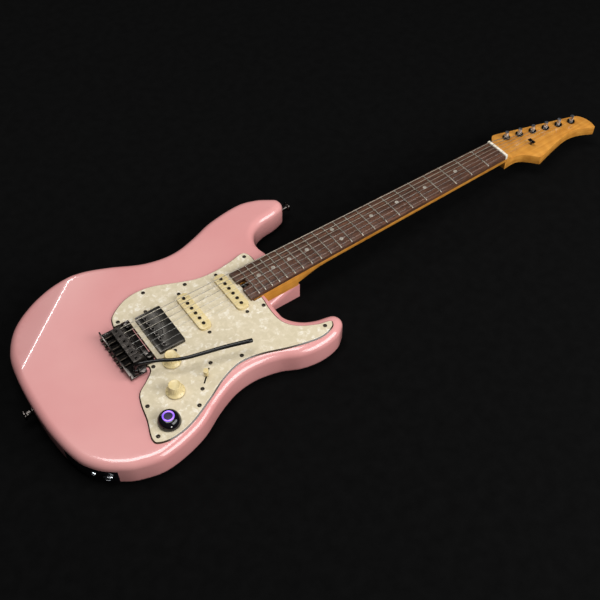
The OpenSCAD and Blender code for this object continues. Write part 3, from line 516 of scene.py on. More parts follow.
def roasted_maple():
    """Oven-browned maple under satin lacquer: amber, with growth lines about 3 mm apart along
    the neck, and a faint curl across it about 18 mm apart."""
    finish, tree, shader, coords = start_finish(
        "roasted_maple", IOR=1.5, Coat_Weight=0.4, Coat_Roughness=0.2)
    along = add(tree, "Mapping", {"Vector": coords, "Scale": (1.6, 26, 26)})
    growth = add(tree, "TexNoise", {"Vector": along, "Scale": 9, "Detail": 8, "Distortion": 0.5})
    colour = add(tree, "ValToRGB", {"Fac": growth},
                 [(0.26, "#bd7a2a"), (0.45, "#cc8a36"), (0.6, "#d3923b"), (0.8, "#da9b45")])
    curl = add(tree, "TexWave", {"Vector": coords, "Scale": 17, "Distortion": 9, "Detail": 2},
               bands_direction="X")
    shine = add(tree, "ValToRGB", {"Fac": curl.outputs["Fac"]}, [(0, "#f2f0ee"), (1, "#ffffff")])
    figured = add(tree, "Mix", {0: 1.0, 6: colour, 7: shine}, data_type="RGBA",
                  blend_type="MULTIPLY")
    rough = add(tree, "MapRange", {"Value": growth, "To Min": 0.3, "To Max": 0.5})
    pores = add(tree, "Bump", {"Height": growth, "Strength": 0.08, "Distance": 0.0003})
    feed(shader, Base_Color=figured.outputs[2], Roughness=rough, Normal=pores)
    return finish


eased("neck", "maple_neck", roasted_maple(), "maple", edge=0.6, crease=32)


# ---- Fretboard ----
# A slab of Indian rosewood, planed to a crown across its width and sawn for the frets. It is
# glued to the neck and oiled, not lacquered.
def oiled_rosewood():
    """Oiled rosewood: dark brown heartwood streaked lengthwise every few millimetres, with open
    pores drawn as dark dashes some 4 mm long, coarser than real ones so that they show."""
    finish, tree, shader, coords = start_finish("oiled_rosewood", IOR=1.47)
    along = add(tree, "Mapping", {"Vector": coords, "Scale": (3, 60, 60)})
    streak = add(tree, "TexNoise", {"Vector": along, "Scale": 6, "Detail": 6})
    colour = add(tree, "ValToRGB", {"Fac": streak},
                 [(0.3, "#3a231a"), (0.5, "#573828"), (0.72, "#704a36")])
    fine = add(tree, "Mapping", {"Vector": coords, "Scale": (1, 9, 9)})
    dashes = add(tree, "TexNoise", {"Vector": fine, "Scale": 260, "Detail": 1})
    pores = add(tree, "ValToRGB", {"Fac": dashes}, [(0.36, "#5a5a5a"), (0.46, "#ffffff")])
    grained = add(tree, "Mix", {0: 1.0, 6: colour, 7: pores}, data_type="RGBA",
                  blend_type="MULTIPLY")
    rough = add(tree, "MapRange", {"Value": streak, "To Min": 0.38, "To Max": 0.6})
    open_grain = add(tree, "Bump", {"Height": pores, "Strength": 0.25, "Distance": 0.0002})
    feed(shader, Base_Color=grained.outputs[2], Roughness=rough, Normal=open_grain)
    return finish


eased("fretboard", "rosewood_fretboard", oiled_rosewood(), "rosewood", edge=0.25)


# ---- Frets ----
# Nickel-silver wire, drawn to a mushroom section and pressed into the slots. Its crown is
# dressed round and polished.
def metal(name, code, roughness, scratch=0.05, uneven=0.35):
    """Solid or plated metal: one even colour, its polish uneven over a few millimetres, with
    handling marks drawn as hairlines about a millimetre apart."""
    finish, tree, shader, coords = start_finish(name, Metallic=1.0, Base_Color=linear(code))
    smear = add(tree, "TexNoise", {"Vector": coords, "Scale": 140, "Detail": 3})
    rough = add(tree, "MapRange", {"Value": smear, "From Min": 0.3, "From Max": 0.7,
                                   "To Min": roughness * (1 - uneven),
                                   "To Max": roughness * (1 + uneven)})
    hair = add(tree, "Mapping", {"Vector": coords, "Scale": (1, 0.08, 1),
                                 "Rotation": (0.2, 0.1, 0.5)})
    lines = add(tree, "TexNoise", {"Vector": hair, "Scale": 900, "Detail": 2})
    marks = add(tree, "Bump", {"Height": lines, "Strength": scratch, "Distance": 0.0001})
    feed(shader, Roughness=rough, Normal=marks)
    return finish


def clumps(things, beside):
    """Things sorted into groups that hang together through beside(thing), first seen first."""
    left, found = dict.fromkeys(things), []
    while left:
        group, queue = [], [next(iter(left))]
        del left[queue[0]]
        while queue:
            thing = queue.pop()
            group.append(thing)
            for other in beside(thing):
                if other in left:
                    del left[other]
                    queue.append(other)
        found.append(group)
    return found


def islands(node):
    """Lowest and highest corners, in millimetres, of each separate solid in a CAD node."""
    work = bmesh.new()
    work.from_mesh(frame["nodes"][node].data)
    bmesh.ops.remove_doubles(work, verts=work.verts, dist=2e-6)
    solids = clumps(work.verts, lambda v: [line.other_vert(v) for line in v.link_edges])
    places = [np.array([v.co for v in solid]) * 1000 for solid in solids]
    work.free()
    return [(group.min(0), group.max(0)) for group in places]


CROWN = 305
FRET_HALF, FRET_RISE = 1.1, 1.12
DRESSED_END = 2
crown_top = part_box("fretboard")[1].z * 1000


def fret(low, high):
    """A fret is swept across the board on the crown's circle. Its section is half an ellipse,
    and its ends are dressed down over the last 2 mm."""
    half = (high[1] - low[1]) / 2
    y = np.linspace(-half, half, 41)[:, None]
    a = np.linspace(0, math.pi, 15)[None]
    dressed = np.sqrt(np.clip((half - abs(y)) / DRESSED_END, 0.02, 1))
    z = crown_top + np.sqrt(CROWN**2 - y**2) - CROWN + FRET_RISE * np.sin(a) * dressed
    x = (low[0] + high[0]) / 2 + FRET_HALF * np.cos(a) + 0 * y
    return capped(np.stack([x, centre_line + y + 0 * a, z], -1))


points, faces = joined([fret(*box) for box in islands("frets")])
fitted(closed_piece("crowned_frets", points / 1000, faces,
                    metal("nickel_silver", "#b8afa1", 0.36), 50, 1e-7),
       "root", "nickel_silver", "frets")

# ---- Position dots ----
# Discs punched from pearl acetate sheet. They are glued into shallow holes in the board and
# sanded level with it.
def nacre(name, dark, middle, light, flake, roughness):
    """Pearl sheet: overlapping flakes, flake millimetres across, that each catch the light at a
    different strength, so that cream and white patches flow into each other."""
    finish, tree, shader, coords = start_finish(name, IOR=1.5, Roughness=roughness)
    warp = add(tree, "TexNoise", {"Vector": coords, "Scale": 600 / flake, "Detail": 2})
    shift = add(tree, "Mix", {0: 0.012, 6: coords, 7: warp.outputs["Color"]}, data_type="RGBA")
    flakes = add(tree, "TexVoronoi", {"Vector": shift.outputs[2], "Scale": 1000 / flake,
                                      "Smoothness": 0.7}, feature="SMOOTH_F1")
    tone = add(tree, "SeparateColor", {"Color": flakes.outputs["Color"]})
    fine = add(tree, "TexNoise", {"Vector": coords, "Scale": 2200 / flake, "Detail": 4})
    blend = add(tree, "Mix", {0: 0.45, 6: tone, 7: fine}, data_type="RGBA")
    colour = add(tree, "ValToRGB", {"Fac": blend.outputs[2]},
                 [(0.3, dark), (0.6, middle), (0.86, light)])
    return finish, tree, shader, coords, colour


pearl, tree, shader, _, colour = nacre("pearl_dot", "#8d867a", "#a8a195", "#c4beb3", 2.5, 0.35)
feed(shader, Base_Color=colour)
eased("position_dots", "pearl_dots", pearl, "pearl_dot", edge=0.05)


# ---- Nut ----
# A strip of bleached bone, filed with six slots that space the strings, and polished. It is
# glued across the end of the board.
def moulded(name, dark, light, roughness, grain=3.0, dents=0.04):
    """A solid-coloured moulding or polished strip: its tone drifts over grain millimetres, as
    does its gloss, and its surface is a trace uneven."""
    finish, tree, shader, coords = start_finish(name, IOR=1.5)
    drift = add(tree, "TexNoise", {"Vector": coords, "Scale": 1000 / grain, "Detail": 4})
    colour = add(tree, "ValToRGB", {"Fac": drift}, [(0.3, dark), (0.7, light)])
    rough = add(tree, "MapRange", {"Value": drift, "From Min": 0.3, "From Max": 0.7,
                                   "To Min": roughness * 0.8, "To Max": roughness * 1.25})
    uneven = add(tree, "Bump", {"Height": drift, "Strength": dents, "Distance": 0.0002})
    feed(shader, Base_Color=colour, Roughness=rough, Normal=uneven)
    return finish


eased("nut", "bone_nut", moulded("polished_bone", "#e2d8c2", "#f1eadb", 0.28), "bone", edge=0.35)

# ---- Truss rod ----
# A steel rod in the neck's channel, which bends the neck back against the strings. It is turned
# by the spoked wheel at the end of the fretboard.
bright_steel = metal("bright_steel", "#b4b6b8", 0.3)
eased("truss_rod", "truss_rod_and_wheel", metal("oiled_steel", "#35322f", 0.4), "steel",
      edge=0.25)

# ---- Neck plate and bolts ----
# A stamped steel plate, black-nickel plated and let in flush under the heel. Four countersunk
# bolts go through it and the body into the neck.
black_nickel = metal("black_nickel", "#474340", 0.2)
eased("neck_plate", "neck_plate_stamping", black_nickel, "black_nickel", edge=0.25)


def turned(profile, sides=48, ripple=None):
    """A solid of revolution: each (radius, height) of the profile goes round the Z axis, and
    ripple(radius, height, angle) may press ribs into it. Closed where the radius is nought."""
    r, z = np.asarray(profile, float).T
    angle = np.linspace(0, 2 * math.pi, sides, endpoint=False)[None]
    radius = np.broadcast_to(r[:, None], (len(r), sides))
    height = np.broadcast_to(z[:, None], (len(r), sides))
    if ripple:
        radius = ripple(radius, height, angle)
    points = np.stack([radius * np.cos(angle), radius * np.sin(angle), height], -1)
    return points.reshape(-1, 3), grid_faces(len(r), sides, round_columns=True)


def cross_head(slot=0.149, reach=0.384, depth=0.15):
    """A screw head one unit in radius: a low dome with a cross-shaped recess cut in its top."""
    bow = np.linspace(0, 1, 7)
    profile = [(0, -0.1), (1, -0.1)] + [(k, 0.42 * (1 - k**2) ** 0.5) for k in bow[::-1]]
    points, faces = turned(profile, 28)
    head = welded(new_piece("head_blank", points, faces, None), 1e-5, outwards=True)
    for k, (a, b) in enumerate(((reach, slot), (slot, reach))):
        tool = new_piece(f"cross_{k}", *upright(box_outline(-a, a, -b, b), depth, 1), None)
        cut = head.modifiers.new("recess", "BOOLEAN")
        cut.object = tool
        cut.solver = "EXACT"
    settle(head)
    shape = np.array([v.co for v in head.data.vertices])
    sides = [list(face.vertices) for face in head.data.polygons]
    for stale in ("head_blank", "cross_0", "cross_1"):
        bpy.data.objects.remove(bpy.data.objects[stale])
    return shape, sides


head_points, head_faces = cross_head()
chance = np.random.default_rng(5)
HEAD_RISE = 0.378


def spun(degrees):
    """The matrix that turns points about the Z axis."""
    c, s = math.cos(math.radians(degrees)), math.sin(math.radians(degrees))
    return np.array([[c, -s, 0], [s, c, 0], [0, 0, 1]])


def screws(name, node, back=(), shank=0.45):
    """Cross-head screws where the node's solids are: a head as wide as each solid, turned by
    chance, and its shank. Those whose number is in back point up from below."""
    parts = []
    for number, (low, high) in enumerate(islands(node)):
        radius = (high[0] - low[0]) / 2
        turn = chance.uniform(0, 180)
        flip, crown = np.ones(3), high[2] - HEAD_RISE * radius
        if number in back:
            flip, crown = np.array((1, -1, -1)), low[2] + HEAD_RISE * radius
        place = (*(low[:2] + high[:2]) / 2, crown)
        parts.append(((head_points @ spun(turn).T * radius * 0.98) * flip + place, head_faces))
        points, faces = turned([(0, 0), (radius * shank, 0),
                                (radius * shank, high[2] - low[2] - 1.5),
                                (0, high[2] - low[2] - 0.6)], 12)
        parts.append((points * flip * (1, -1, -1) + place, faces))
    points, faces = joined(parts)
    fitted(closed_piece(name, points / 1000, faces, blackened, 35), "root", "dark_screw", node)


blackened = metal("blackened_screw", "#3a342e", 0.36)
screws("neck_bolt_set", "neck_bolts", back=range(4))

# ---- Pickguard ----
# Three-ply sheet cut to shape: aged pearl over a dark core over cream. Its outer edge is bevelled,
# which bares the core as a thin dark line. Screws hold it to the face, over the routs.
TOP_PLY, CORE_PLY = 0.0003, 0.0018


def pearl_sheet(top):
    """Aged pearl laminate: cream nacre with flakes about 5 mm across on top and underneath, and
    a dark core, told apart by height below the sheet's top."""
    finish, tree, shader, coords, colour = nacre("pearl_laminate", "#d0c3a6", "#d9ccb1", "#efe8d8",
                                                 5, 0.2)
    height = add(tree, "SeparateXYZ", {"Vector": coords}).outputs[2]
    under = add(tree, "Math", {0: height, 1: top - TOP_PLY}, operation="LESS_THAN")
    over = add(tree, "Math", {0: height, 1: top - TOP_PLY - CORE_PLY}, operation="GREATER_THAN")
    core = add(tree, "Math", {0: under, 1: over}, operation="MULTIPLY")
    layers = add(tree, "Mix", {0: core, 6: colour, 7: linear("#3b2b22")}, data_type="RGBA")
    feed(shader, Base_Color=layers.outputs[2])
    return finish


def bevelled_sheet(node, name, finish, slot, width):
    """A copy of a flat CAD node whose outer top edge is planed to 45 degrees. That edge is the
    longest loop of lines between an upright face and a level one."""
    piece, work = bare_copy(node, name, finish)
    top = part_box(node)[1].z
    rim = [line for line in work.edges
           if all(abs(v.co.z - top) < 1e-5 for v in line.verts) and len(line.link_faces) == 2
           and sorted(round(abs(face.normal.z)) for face in line.link_faces) == [0, 1]]
    loops = clumps(rim, lambda line: [o for v in line.verts for o in v.link_edges])
    outer = max(loops, key=lambda loop: np.ptp([v.co.x for o in loop for v in o.verts]))
    bmesh.ops.bevel(work, geom=outer, offset=width, segments=1, affect="EDGES",
                    clamp_overlap=False)
    work.to_mesh(piece.data)
    work.free()
    fitted(settle(piece, 30), frame["nodes"][node]["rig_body"], slot, node)


GUARD_BEVEL = 0.0019
bevelled_sheet("pickguard", "pearl_pickguard", pearl_sheet(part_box("pickguard")[1].z), "pearloid",
               GUARD_BEVEL)
under_back = [k for k, (low, _) in enumerate(islands("cover_screws")) if low[2] < 1]
screws("cover_screw_set", "cover_screws", back=under_back)
screws("machine_screw_set", "machine_screws")

# ---- Single-coil pickups ----
# Moulded covers over coils wound on fibre formers, with six magnets standing through the top.
aged_cream = moulded("aged_cream_plastic", "#d3bd86", "#e2cf9d", 0.3, grain=9)
eased("single_coil_covers", "single_coil_covers_moulded", aged_cream, "cream", edge=1.1)
eased("single_coil_poles", "alnico_poles", metal("aged_alnico", "#2f2924", 0.5), "magnet",
      edge=0.35)
black_fibre = moulded("black_fibre", "#1c1917", "#2a2623", 0.6, grain=1.5, dents=0.15)
eased("pickup_bobbins", "coil_formers", black_fibre, "bobbin", edge=0.3)

# ---- Humbucker ----
# Two coils side by side under one drawn cover, plated in smoky black nickel. A row of slotted
# pole screws stands through it.
smoked_nickel = metal("smoked_nickel", "#4b4844", 0.3, 0.01, 0.06)
eased("humbucker_cover", "humbucker_cover_drawn", smoked_nickel, "black_nickel", edge=0.9)
eased("humbucker_poles", "humbucker_pole_screws", black_nickel, "black_nickel", edge=0.2)


# ---- Volume and tone knobs ----
# Moulded knobs pushed on to split shafts: a fluted grip on a flared skirt with numbers printed
# round it. The cream has yellowed.
FLUTES = 24


def seat(node):
    """The middle of a round CAD node's foot, its radius and its height, in millimetres."""
    low, high = (np.array(corner) * 1000 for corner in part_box(node))
    return np.append((low[:2] + high[:2]) / 2, low[2]), (high[0] - low[0]) / 2, high[2] - low[2]


def skirted_knob(node, name):
    """The profile sweeps in from the skirt's rim to the grip; cosine flutes press the grip in
    by a twentieth of its radius."""
    middle, rim_r, _ = seat(node)
    flare = [(9.1 + (rim_r - 9.4) * (1 - t) ** 2.2, 1.9 + 4.6 * t) for t in np.linspace(0, 1, 9)]
    profile = ([(0, 10.2), (3.05, 10.2), (3.05, 4), (6.5, 4), (6.5, 0), (rim_r - 0.25, 0),
                (rim_r, 0.25), (rim_r, 1.6)] + flare
               + [(8.95, 7.2), (8.5, 10.5), (8.1, 13.9), (7.7, 14.6), (7.2, 14.8), (6.6, 14.5),
                  (5, 14.1), (0, 14.0)])

    def fluted(radius, height, angle):
        grip = np.clip((height - 6.6) / 0.8, 0, 1) * np.clip((14.7 - height) / 0.3, 0, 1)
        grip = grip * (radius > 7.5)
        return radius * (1 - 0.045 * grip * (0.5 + 0.5 * np.cos(FLUTES * angle)) ** 2)

    points, faces = turned(profile, FLUTES * 8, fluted)
    knob = closed_piece(name, (points + middle) / 1000, faces, aged_cream, 40)
    fitted(knob, frame["nodes"][node]["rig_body"], "cream", node)
    return middle, rim_r


def skirt_numbers(name, middle, rim_r, body_name):
    """The numbers 1 to 10 round the skirt, upright to a reader outside it: flat figures laid on
    the flare, which falls away from the grip."""
    parts = []
    for number in range(1, 11):
        text = bpy.data.curves.new("figure", "FONT")
        text.body = str(number)
        text.size = 3.0
        text.align_x = "CENTER"
        text.align_y = "CENTER"
        holder = put("figure", text)
        mesh = bpy.data.meshes.new_from_object(
            holder.evaluated_get(bpy.context.evaluated_depsgraph_get()))
        flat = np.array([v.co for v in mesh.vertices])
        faces = [list(face.vertices) for face in mesh.polygons]
        bpy.data.objects.remove(holder)
        turn = math.radians(-110 + 30 * number)
        out = rim_r - 1.75 + flat[:, 1] * 0.75
        t = 1 - ((out - 9.1) / (rim_r - 9.4)).clip(0, 1) ** (1 / 2.2)
        height = 1.9 + 4.6 * t + 0.07
        around = -flat[:, 0] / out
        points = np.stack([out * np.cos(turn + around), out * np.sin(turn + around), height], 1)
        parts.append((points + middle, faces))
    points, faces = joined(parts)
    fitted(new_piece(name, points / 1000, faces, printed), body_name, "cream")


printed = moulded("sooty_print", "#5d4c2c", "#6f5d3a", 0.5)
for control in ("volume", "tone"):
    middle, rim_r = skirted_knob(f"{control}_knob", f"{control}_knob_moulded")
    skirt_numbers(f"{control}_numbers", middle, rim_r, control)

# ---- Light knob ----
# A gloss black dome on an endless encoder, round a lit ring, with a push button in the middle.
gloss_black = moulded("gloss_black_plastic", "#0b0a0c", "#141216", 0.1, grain=12, dents=0.01)


dome_middle, rim_r, tall = seat("dome_knob")
RING_R, BORE_R = 7.4, 7.1


def flank(a):
    """The dome's flank: a quarter ellipse that falls from the ring to the rim."""
    return RING_R + (rim_r - RING_R) * math.cos(a), 1 + (tall - 1) * math.sin(a)


points, faces = turned([(BORE_R, tall - 1.6), (BORE_R, 0.2), (rim_r - 0.4, 0), (rim_r, 0.4)]
                       + [flank(a) for a in np.linspace(0, 1, 12) * math.pi / 2]
                       + [(BORE_R, tall - 0.15), (BORE_R, tall - 1.6)], 72)
fitted(closed_piece("dome_shell", (points + dome_middle) / 1000, faces, gloss_black, 45), "dome",
       "black_plastic", "dome_knob")

# A small white mark stands on the flank and leans with it.
points, faces = turned([(0, -0.3), (0.9, -0.3), (0.9, 0), (0.6, 0.12), (0, 0.16)], 16)
lean = np.array([[0.8, 0, 0.6], [0, 1, 0], [-0.6, 0, 0.8]])
out, up = flank(math.radians(38))
points = (points @ lean.T + (out, 0, up)) @ spun(-105).T + dome_middle
white = moulded("white_print", "#dcdad6", "#f2f1ee", 0.4)
fitted(welded(new_piece("dome_mark", points / 1000, faces, white), 1e-6, True), "dome",
       "black_plastic")


def lit_diffuser():
    """Milky diffuser over a row of violet diodes: it glows over the outer 1.7 mm of the ring,
    brighter over each diode, and stays dark violet inside."""
    finish, tree, shader, coords = start_finish("lit_diffuser", Roughness=0.35)
    glow = add(tree, "TexNoise", {"Vector": coords, "Scale": 110, "Detail": 1})
    colour = add(tree, "ValToRGB", {"Fac": glow}, [(0.3, "#6a3fd0"), (0.6, "#9468ea")])
    flat = add(tree, "VectorMath", {0: coords, 1: (1, 1, 0)}, operation="MULTIPLY")
    out = add(tree, "VectorMath", {0: flat, 1: (*dome_middle[:2] / 1000, 0)}, operation="DISTANCE")
    band = add(tree, "MapRange", {"Value": out.outputs["Value"], "From Min": 0.0055,
                                  "From Max": 0.006, "To Min": 0.06, "To Max": 1.0})
    power = add(tree, "Math", {0: band, 1: glow}, operation="MULTIPLY")
    strong = add(tree, "Math", {0: power, 1: 2.2}, operation="MULTIPLY")
    dim = add(tree, "Mix", {0: band, 6: linear("#1a0d33"), 7: colour}, data_type="RGBA")
    feed(shader, Base_Color=dim.outputs[2], Emission_Color=colour, Emission_Strength=strong)
    return finish


eased("light_ring", "diffuser_ring", lit_diffuser(), "ring_light", edge=0.2)
eased("dome_button", "dome_push_button",
      moulded("violet_black_plastic", "#150a26", "#20123a", 0.5, grain=8), "black_plastic",
      edge=0.35)
eased("dome_encoder", "encoder_body", bright_steel, "steel", edge=0.2)

# ---- Pickup selector ----
# A lever switch screwed up under the pickguard. Its flat steel lever pokes through a slot and
# carries a push-on cream tip.
eased("selector_frame", "selector_switch_frame", bright_steel, "steel", edge=0.2)
eased("selector_lever", "selector_lever_blade", bright_steel, "steel", edge=0.15)
eased("selector_tip", "selector_tip_moulded", aged_cream, "cream", edge=0.8)

# ---- Electronics in the body ----
# The two controls' pressed steel cans hang under the pickguard. The effects board and its
# lithium pouch cell lie in the control cavity.
eased("potentiometers", "control_pots", bright_steel, "steel", edge=0.25)


def solder_mask():
    """Green solder mask over copper: darker between the tracks, which run about 1.3 mm apart."""
    finish, tree, shader, coords = start_finish("solder_mask", Roughness=0.3)
    tracks = add(tree, "TexBrick", {"Vector": coords, "Scale": 380, "Mortar Size": 0.12,
                                    "Color1": linear("#1f5a3c"), "Color2": linear("#266847"),
                                    "Mortar": linear("#153d2a")})
    feed(shader, Base_Color=tracks)
    return finish


eased("control_board", "effects_board", solder_mask(), "board", edge=0.1)
eased("battery_pack", "lithium_cell", moulded("foil_pouch", "#b9bec4", "#d0d4d8", 0.35, 6), "cell",
      edge=0.6)

# ---- Edge panel and sockets ----
# A bent plastic panel let into the rim by the tail, with the jack's ferrule and a small
# headphone socket through it.
eased("socket_panel", "edge_panel", gloss_black, "black_plastic", edge=0.3)
plated = metal("bright_chrome", "#b4b6ba", 0.16, 0.02)
eased("output_jack", "jack_ferrule_and_nut", plated, "chrome", edge=0.25)
eased("phones_socket", "headphone_ferrule", plated, "chrome", edge=0.2)

# ---- Strap buttons ----
# Turned steel buttons, black-nickel plated, one on the tail and one on the end of the bass horn.
# Each is held by a wood screw through its middle.
eased("strap_buttons", "strap_button_pair", black_nickel, "black_nickel", edge=0.3)

# ---- Bridge ----
# A folded plate that rocks on two posts, six stamped saddles with their screws, and a block under
# it that the springs pull on. Everything is black-nickel plated.
eased("bridge_plate", "folded_bridge_plate", black_nickel, "black_nickel", edge=0.4)
eased("sustain_block", "cast_sustain_block", metal("painted_block", "#2b2a29", 0.5, 0.1),
      "black_nickel", edge=0.6)
eased("saddles", "stamped_saddles", metal("satin_nickel", "#3c3835", 0.4, 0.02), "black_nickel",
      edge=0.35)
eased("saddle_screws", "saddle_screw_set", blackened, "dark_screw", edge=0.2)
eased("pivot_posts", "slotted_pivot_posts", black_nickel, "black_nickel", edge=0.4)

# ---- Tremolo arm ----
# A steel rod, bent by hand over a former and stoved with gloss black enamel. It pushes into a
# threaded collar in the plate.
eased("arm_collar", "threaded_arm_collar", black_nickel, "black_nickel", edge=0.3)


def black_enamel():
    """Stoved gloss black enamel: near-black under a hard shine, slightly wavy where it ran."""
    finish, tree, shader, coords = start_finish(
        "black_enamel", Roughness=0.35, Specular_IOR_Level=0.3, Coat_Weight=0.2,
        Coat_Roughness=0.1)
    run = add(tree, "TexNoise", {"Vector": coords, "Scale": 160, "Detail": 2})
    colour = add(tree, "ValToRGB", {"Fac": run}, [(0.3, "#050404"), (0.7, "#0a0908")])
    wave = add(tree, "Bump", {"Height": run, "Strength": 0.05, "Distance": 0.0002})
    feed(shader, Base_Color=colour, Coat_Normal=wave)
    return finish


def tube(path, radius, sides=16):
    """A round bar along a path of points: each ring stands square to the path, with its first
    spoke carried along from ring to ring so that the bar does not twist. Domed at both ends."""
    path = np.asarray(path, float)
    radius = np.broadcast_to(np.asarray(radius, float), len(path))
    ahead = unit(np.gradient(path, axis=0))
    spoke = unit(np.cross(ahead[0], (0.31, 0.83, 0.47)))
    rings = []
    turn = np.linspace(0, 2 * math.pi, sides, endpoint=False)[:, None]
    for k, (place, along) in enumerate(zip(path, ahead)):
        spoke = unit(spoke - along * (spoke @ along))
        other = np.cross(along, spoke)
        circle = np.cos(turn) * spoke + np.sin(turn) * other
        domes = {0: (-0.5, -0.35, 0), len(path) - 1: (0, 0.35, 0.5)}.get(k, (0,))
        for step in domes:
            shrink = math.sqrt(max(0, 1 - (step / 0.5) ** 2)) if step else 1
            rings.append(place + along * step * radius[k] + circle * radius[k] * max(shrink, 0.02))
    return capped(rings)


ARM_SHAFT = (-18.5, -44.5)
ARM_TOP = 69
BEND = 8
route = np.array([(-4, -50.3, ARM_TOP), (11, -57.7, ARM_TOP), (25, -66.6, ARM_TOP),
                  (40, -73.6, ARM_TOP), (56, -78.4, ARM_TOP), (88, -87.3, ARM_TOP),
                  (123, -99, ARM_TOP)])
lead = unit(route[0, :2] - ARM_SHAFT)
bend = [(*(np.array(ARM_SHAFT) + lead * BEND * (1 - math.cos(a))),
         ARM_TOP - BEND + BEND * math.sin(a)) for a in np.linspace(0, math.pi / 2, 12)]
upright = [(*ARM_SHAFT, z) for z in np.linspace(50.5, ARM_TOP - BEND - 0.5, 6)]
arm_path = np.vstack([upright, bend, curve(np.vstack([bend[-1], route]), 8)[1:]])
run = np.r_[0, np.cumsum(np.linalg.norm(np.diff(arm_path, axis=0), axis=1))]
arm = tube(arm_path, 2.2 + 0.7 * np.clip((run - 30) / (run[-1] - 30), 0, 1) ** 1.2, 28)
shaft = turned([(0, 40), (2.4, 40), (2.45, 40.4), (2.45, 52), (2.1, 53), (0, 53)], 28)
collet = turned([(0, 55.6), (3.1, 55.6), (3.3, 55.9), (3.3, 58.6), (3.0, 59), (1.5, 59.2),
                 (0, 59.2)], 28)
points, faces = joined([arm] + [(part[0] + (*ARM_SHAFT, 0), part[1]) for part in (shaft, collet)])
fitted(closed_piece("bent_arm", placed(points), faces, black_enamel(), 50, 1e-7), "arm",
       "black_enamel", "tremolo_arm")

# ---- Springs ----
# Three coil springs of drawn steel wire lie in the back, and pull the block towards the claw.
spring_wire = metal("spring_wire", "#8f9194", 0.3)
COILS = 34
COIL_INSET = 4
SPRING_WIRE_R = 0.48
for number, (low, high) in enumerate(islands("tremolo_springs")):
    _, y, z = (low + high) / 2
    coil_r = min(high[1:] - low[1:]) / 2 - 0.5
    t = np.linspace(0, 1, COILS * 14)
    x = low[0] + COIL_INSET + (high[0] - low[0] - 2 * COIL_INSET) * t
    angle = 2 * math.pi * COILS * t
    helix = np.column_stack([x, y + coil_r * np.cos(angle), z + coil_r * np.sin(angle)])
    block_end = [(at, y, z) for at in np.linspace(low[0] + 0.6, x[0] - 0.8, 4)]
    claw_end = [(at, y, z) for at in np.linspace(high[0] - 0.6, x[-1] + 0.8, 4)]
    points, faces = tube(np.vstack([block_end, helix, claw_end]), SPRING_WIRE_R, 8)
    spring = new_piece(f"coil_spring_{number + 1}", points / 1000, faces, spring_wire)
    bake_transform(spring)
    if number == 0:
        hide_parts("tremolo_springs")

# ---- Claw and back plate ----
# A stamped claw holds the springs, on two long screws into the wood. A sheet of black plastic
# covers them.
eased("spring_claw", "stamped_spring_claw", bright_steel, "steel", edge=0.25)
eased("claw_screws", "long_claw_screws", bright_steel, "steel", edge=0.2)
eased("back_plate", "back_cover_plate",
      moulded("black_sheet", "#151415", "#1e1c1e", 0.3, grain=14), "black_plastic", edge=0.3)

# ---- Tuners ----
# Die-cast worm housings under the headstock, with a threaded bushing through it from above. Each
# post is turned by its key on the bass side.
eased("tuner_housings", "cast_tuner_housings", black_nickel, "black_nickel", edge=0.5)
eased("tuner_bushings", "hexagon_bushings", black_nickel, "black_nickel", edge=0.3)
satin_chrome = metal("satin_chrome", "#dcdee2", 0.34, 0.02)
for number in range(1, 7):
    eased(f"string_post_{number}", f"post_{number}_turned", satin_chrome, "chrome", edge=0.25)
    eased(f"tuner_key_{number}", f"key_{number}_cast", black_nickel, "black_nickel", edge=0.6)

# ---- String tree ----
# A small pressed bar, black-nickel plated, on a screw into the headstock. It holds the two
# thinnest strings down behind the nut.
eased("string_tree", "pressed_string_tree", black_nickel, "black_nickel", edge=0.25)

# ---- Strings ----
# Three wound and three plain strings of nickel-plated steel, from the bridge to their posts. A few
# turns of each lie round its post.
STRING_MM = (1.17, 0.91, 0.66, 0.43, 0.33, 0.25)
SADDLE_PITCH, NUT_PITCH = 10.7, 7
SADDLE_Z, NUT_Z = 58, 55.5
WRAP_Z = 46
POST_R = 3.15
LAPS = 2.6
FIRST_POST, POST_PITCH, LEAN = np.array((691.5, 21.4)), 23.7, math.radians(16)


def wire(name, wound):
    """Nickel-plated string wire. A wound string is ribbed by its wrap, drawn here as bands some
    0.5 mm apart along the string, coarser than the real wrap so that they show."""
    finish, tree, shader, coords = start_finish(name, Metallic=1.0)
    age = add(tree, "TexNoise", {"Vector": coords, "Scale": 90, "Detail": 2})
    dull, bright = ("#8f897d", "#aaa395") if wound else ("#a3a19c", "#bcbab4")
    colour = add(tree, "ValToRGB", {"Fac": age}, [(0.3, dull), (0.7, bright)])
    rough = add(tree, "MapRange", {"Value": age, "To Min": 0.4, "To Max": 0.55})
    wrap = add(tree, "TexWave", {"Vector": coords, "Scale": 320 if wound else 60},
               bands_direction="X")
    ribs = add(tree, "Bump", {"Height": wrap.outputs["Fac"], "Strength": 0.25 if wound else 0.02,
                              "Distance": 0.0001})
    feed(shader, Base_Color=colour, Roughness=rough, Normal=ribs)
    return finish


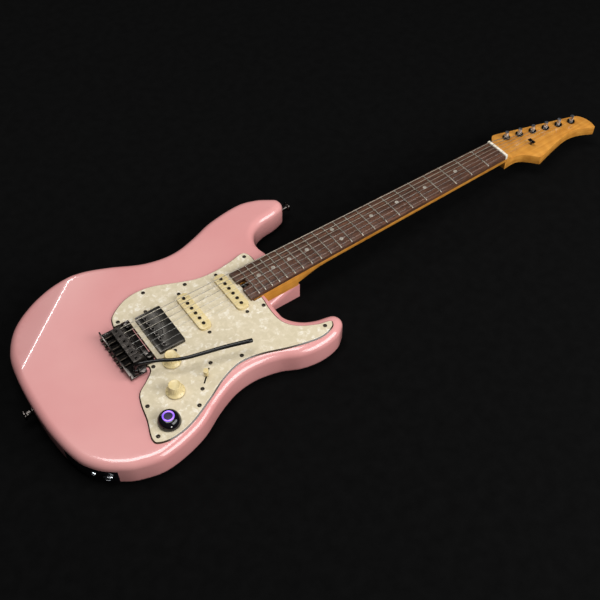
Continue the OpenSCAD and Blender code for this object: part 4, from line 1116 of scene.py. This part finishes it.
wound_wire, plain_wire = wire("wound_wire", True), wire("plain_wire", False)
for number, thick in enumerate(STRING_MM):
    across = 2.5 - number
    finish = wound_wire if number < 3 else plain_wire
    y_saddle, y_nut = across * SADDLE_PITCH, across * NUT_PITCH
    z_saddle = SADDLE_Z + math.sqrt(CROWN**2 - y_saddle**2) - CROWN
    z_nut = NUT_Z + math.sqrt(CROWN**2 - y_nut**2) - CROWN
    post = FIRST_POST + number * POST_PITCH * np.array((math.cos(LEAN), -math.sin(LEAN)))
    touch = (post[0], post[1] - 3.2 - thick / 2, WRAP_Z)
    ahead = 15 / SCALE_LENGTH
    corners = np.array([(0.5, y_saddle, z_saddle), (15, y_saddle + ahead * (y_nut - y_saddle),
                                                   z_saddle + ahead * (z_nut - z_saddle)),
                        (SCALE_LENGTH, y_nut, z_nut), (651.5, y_nut, z_nut - 0.1), touch])
    parts = []
    for a, b in zip(corners[:-1], corners[1:]):
        count = max(2, int(np.linalg.norm(b - a) / 12))
        parts.append(a + (b - a) * np.arange(count)[:, None] / count)
    path = np.vstack(parts + [corners[-1:]])
    points, faces = tube(path, thick / 2, 10)
    string = new_piece(f"string_{number + 1}", placed(points), faces, finish)
    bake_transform(string)
    if number == 0:
        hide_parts("strings")

    tail = np.array([(-9, y_saddle, 49.5), (-8.4, y_saddle, 52.5), (-5.4, y_saddle, z_saddle - 2.2),
                     (-2.6, y_saddle, z_saddle - 0.4), (0.8, y_saddle, z_saddle)])
    points, faces = tube(curve(tail, 5), thick / 2, 10)
    fitted(new_piece(f"string_{number + 1}_ball_end", placed(points), faces, finish), "bridge",
           "string_steel")

    t = np.linspace(0, 1, 64)
    angle = -math.pi / 2 + 2 * math.pi * LAPS * t
    reach = POST_R + thick / 2
    level = WRAP_Z - (0.3 + thick) * LAPS * t * 0.55
    coil = np.column_stack([post[0] + reach * np.cos(angle), post[1] + reach * np.sin(angle),
                            level])
    points, faces = tube(coil, thick / 2, 10)
    fitted(new_piece(f"string_{number + 1}_laps", placed(points), faces, finish),
           f"post_{number + 1}", "string_steel")
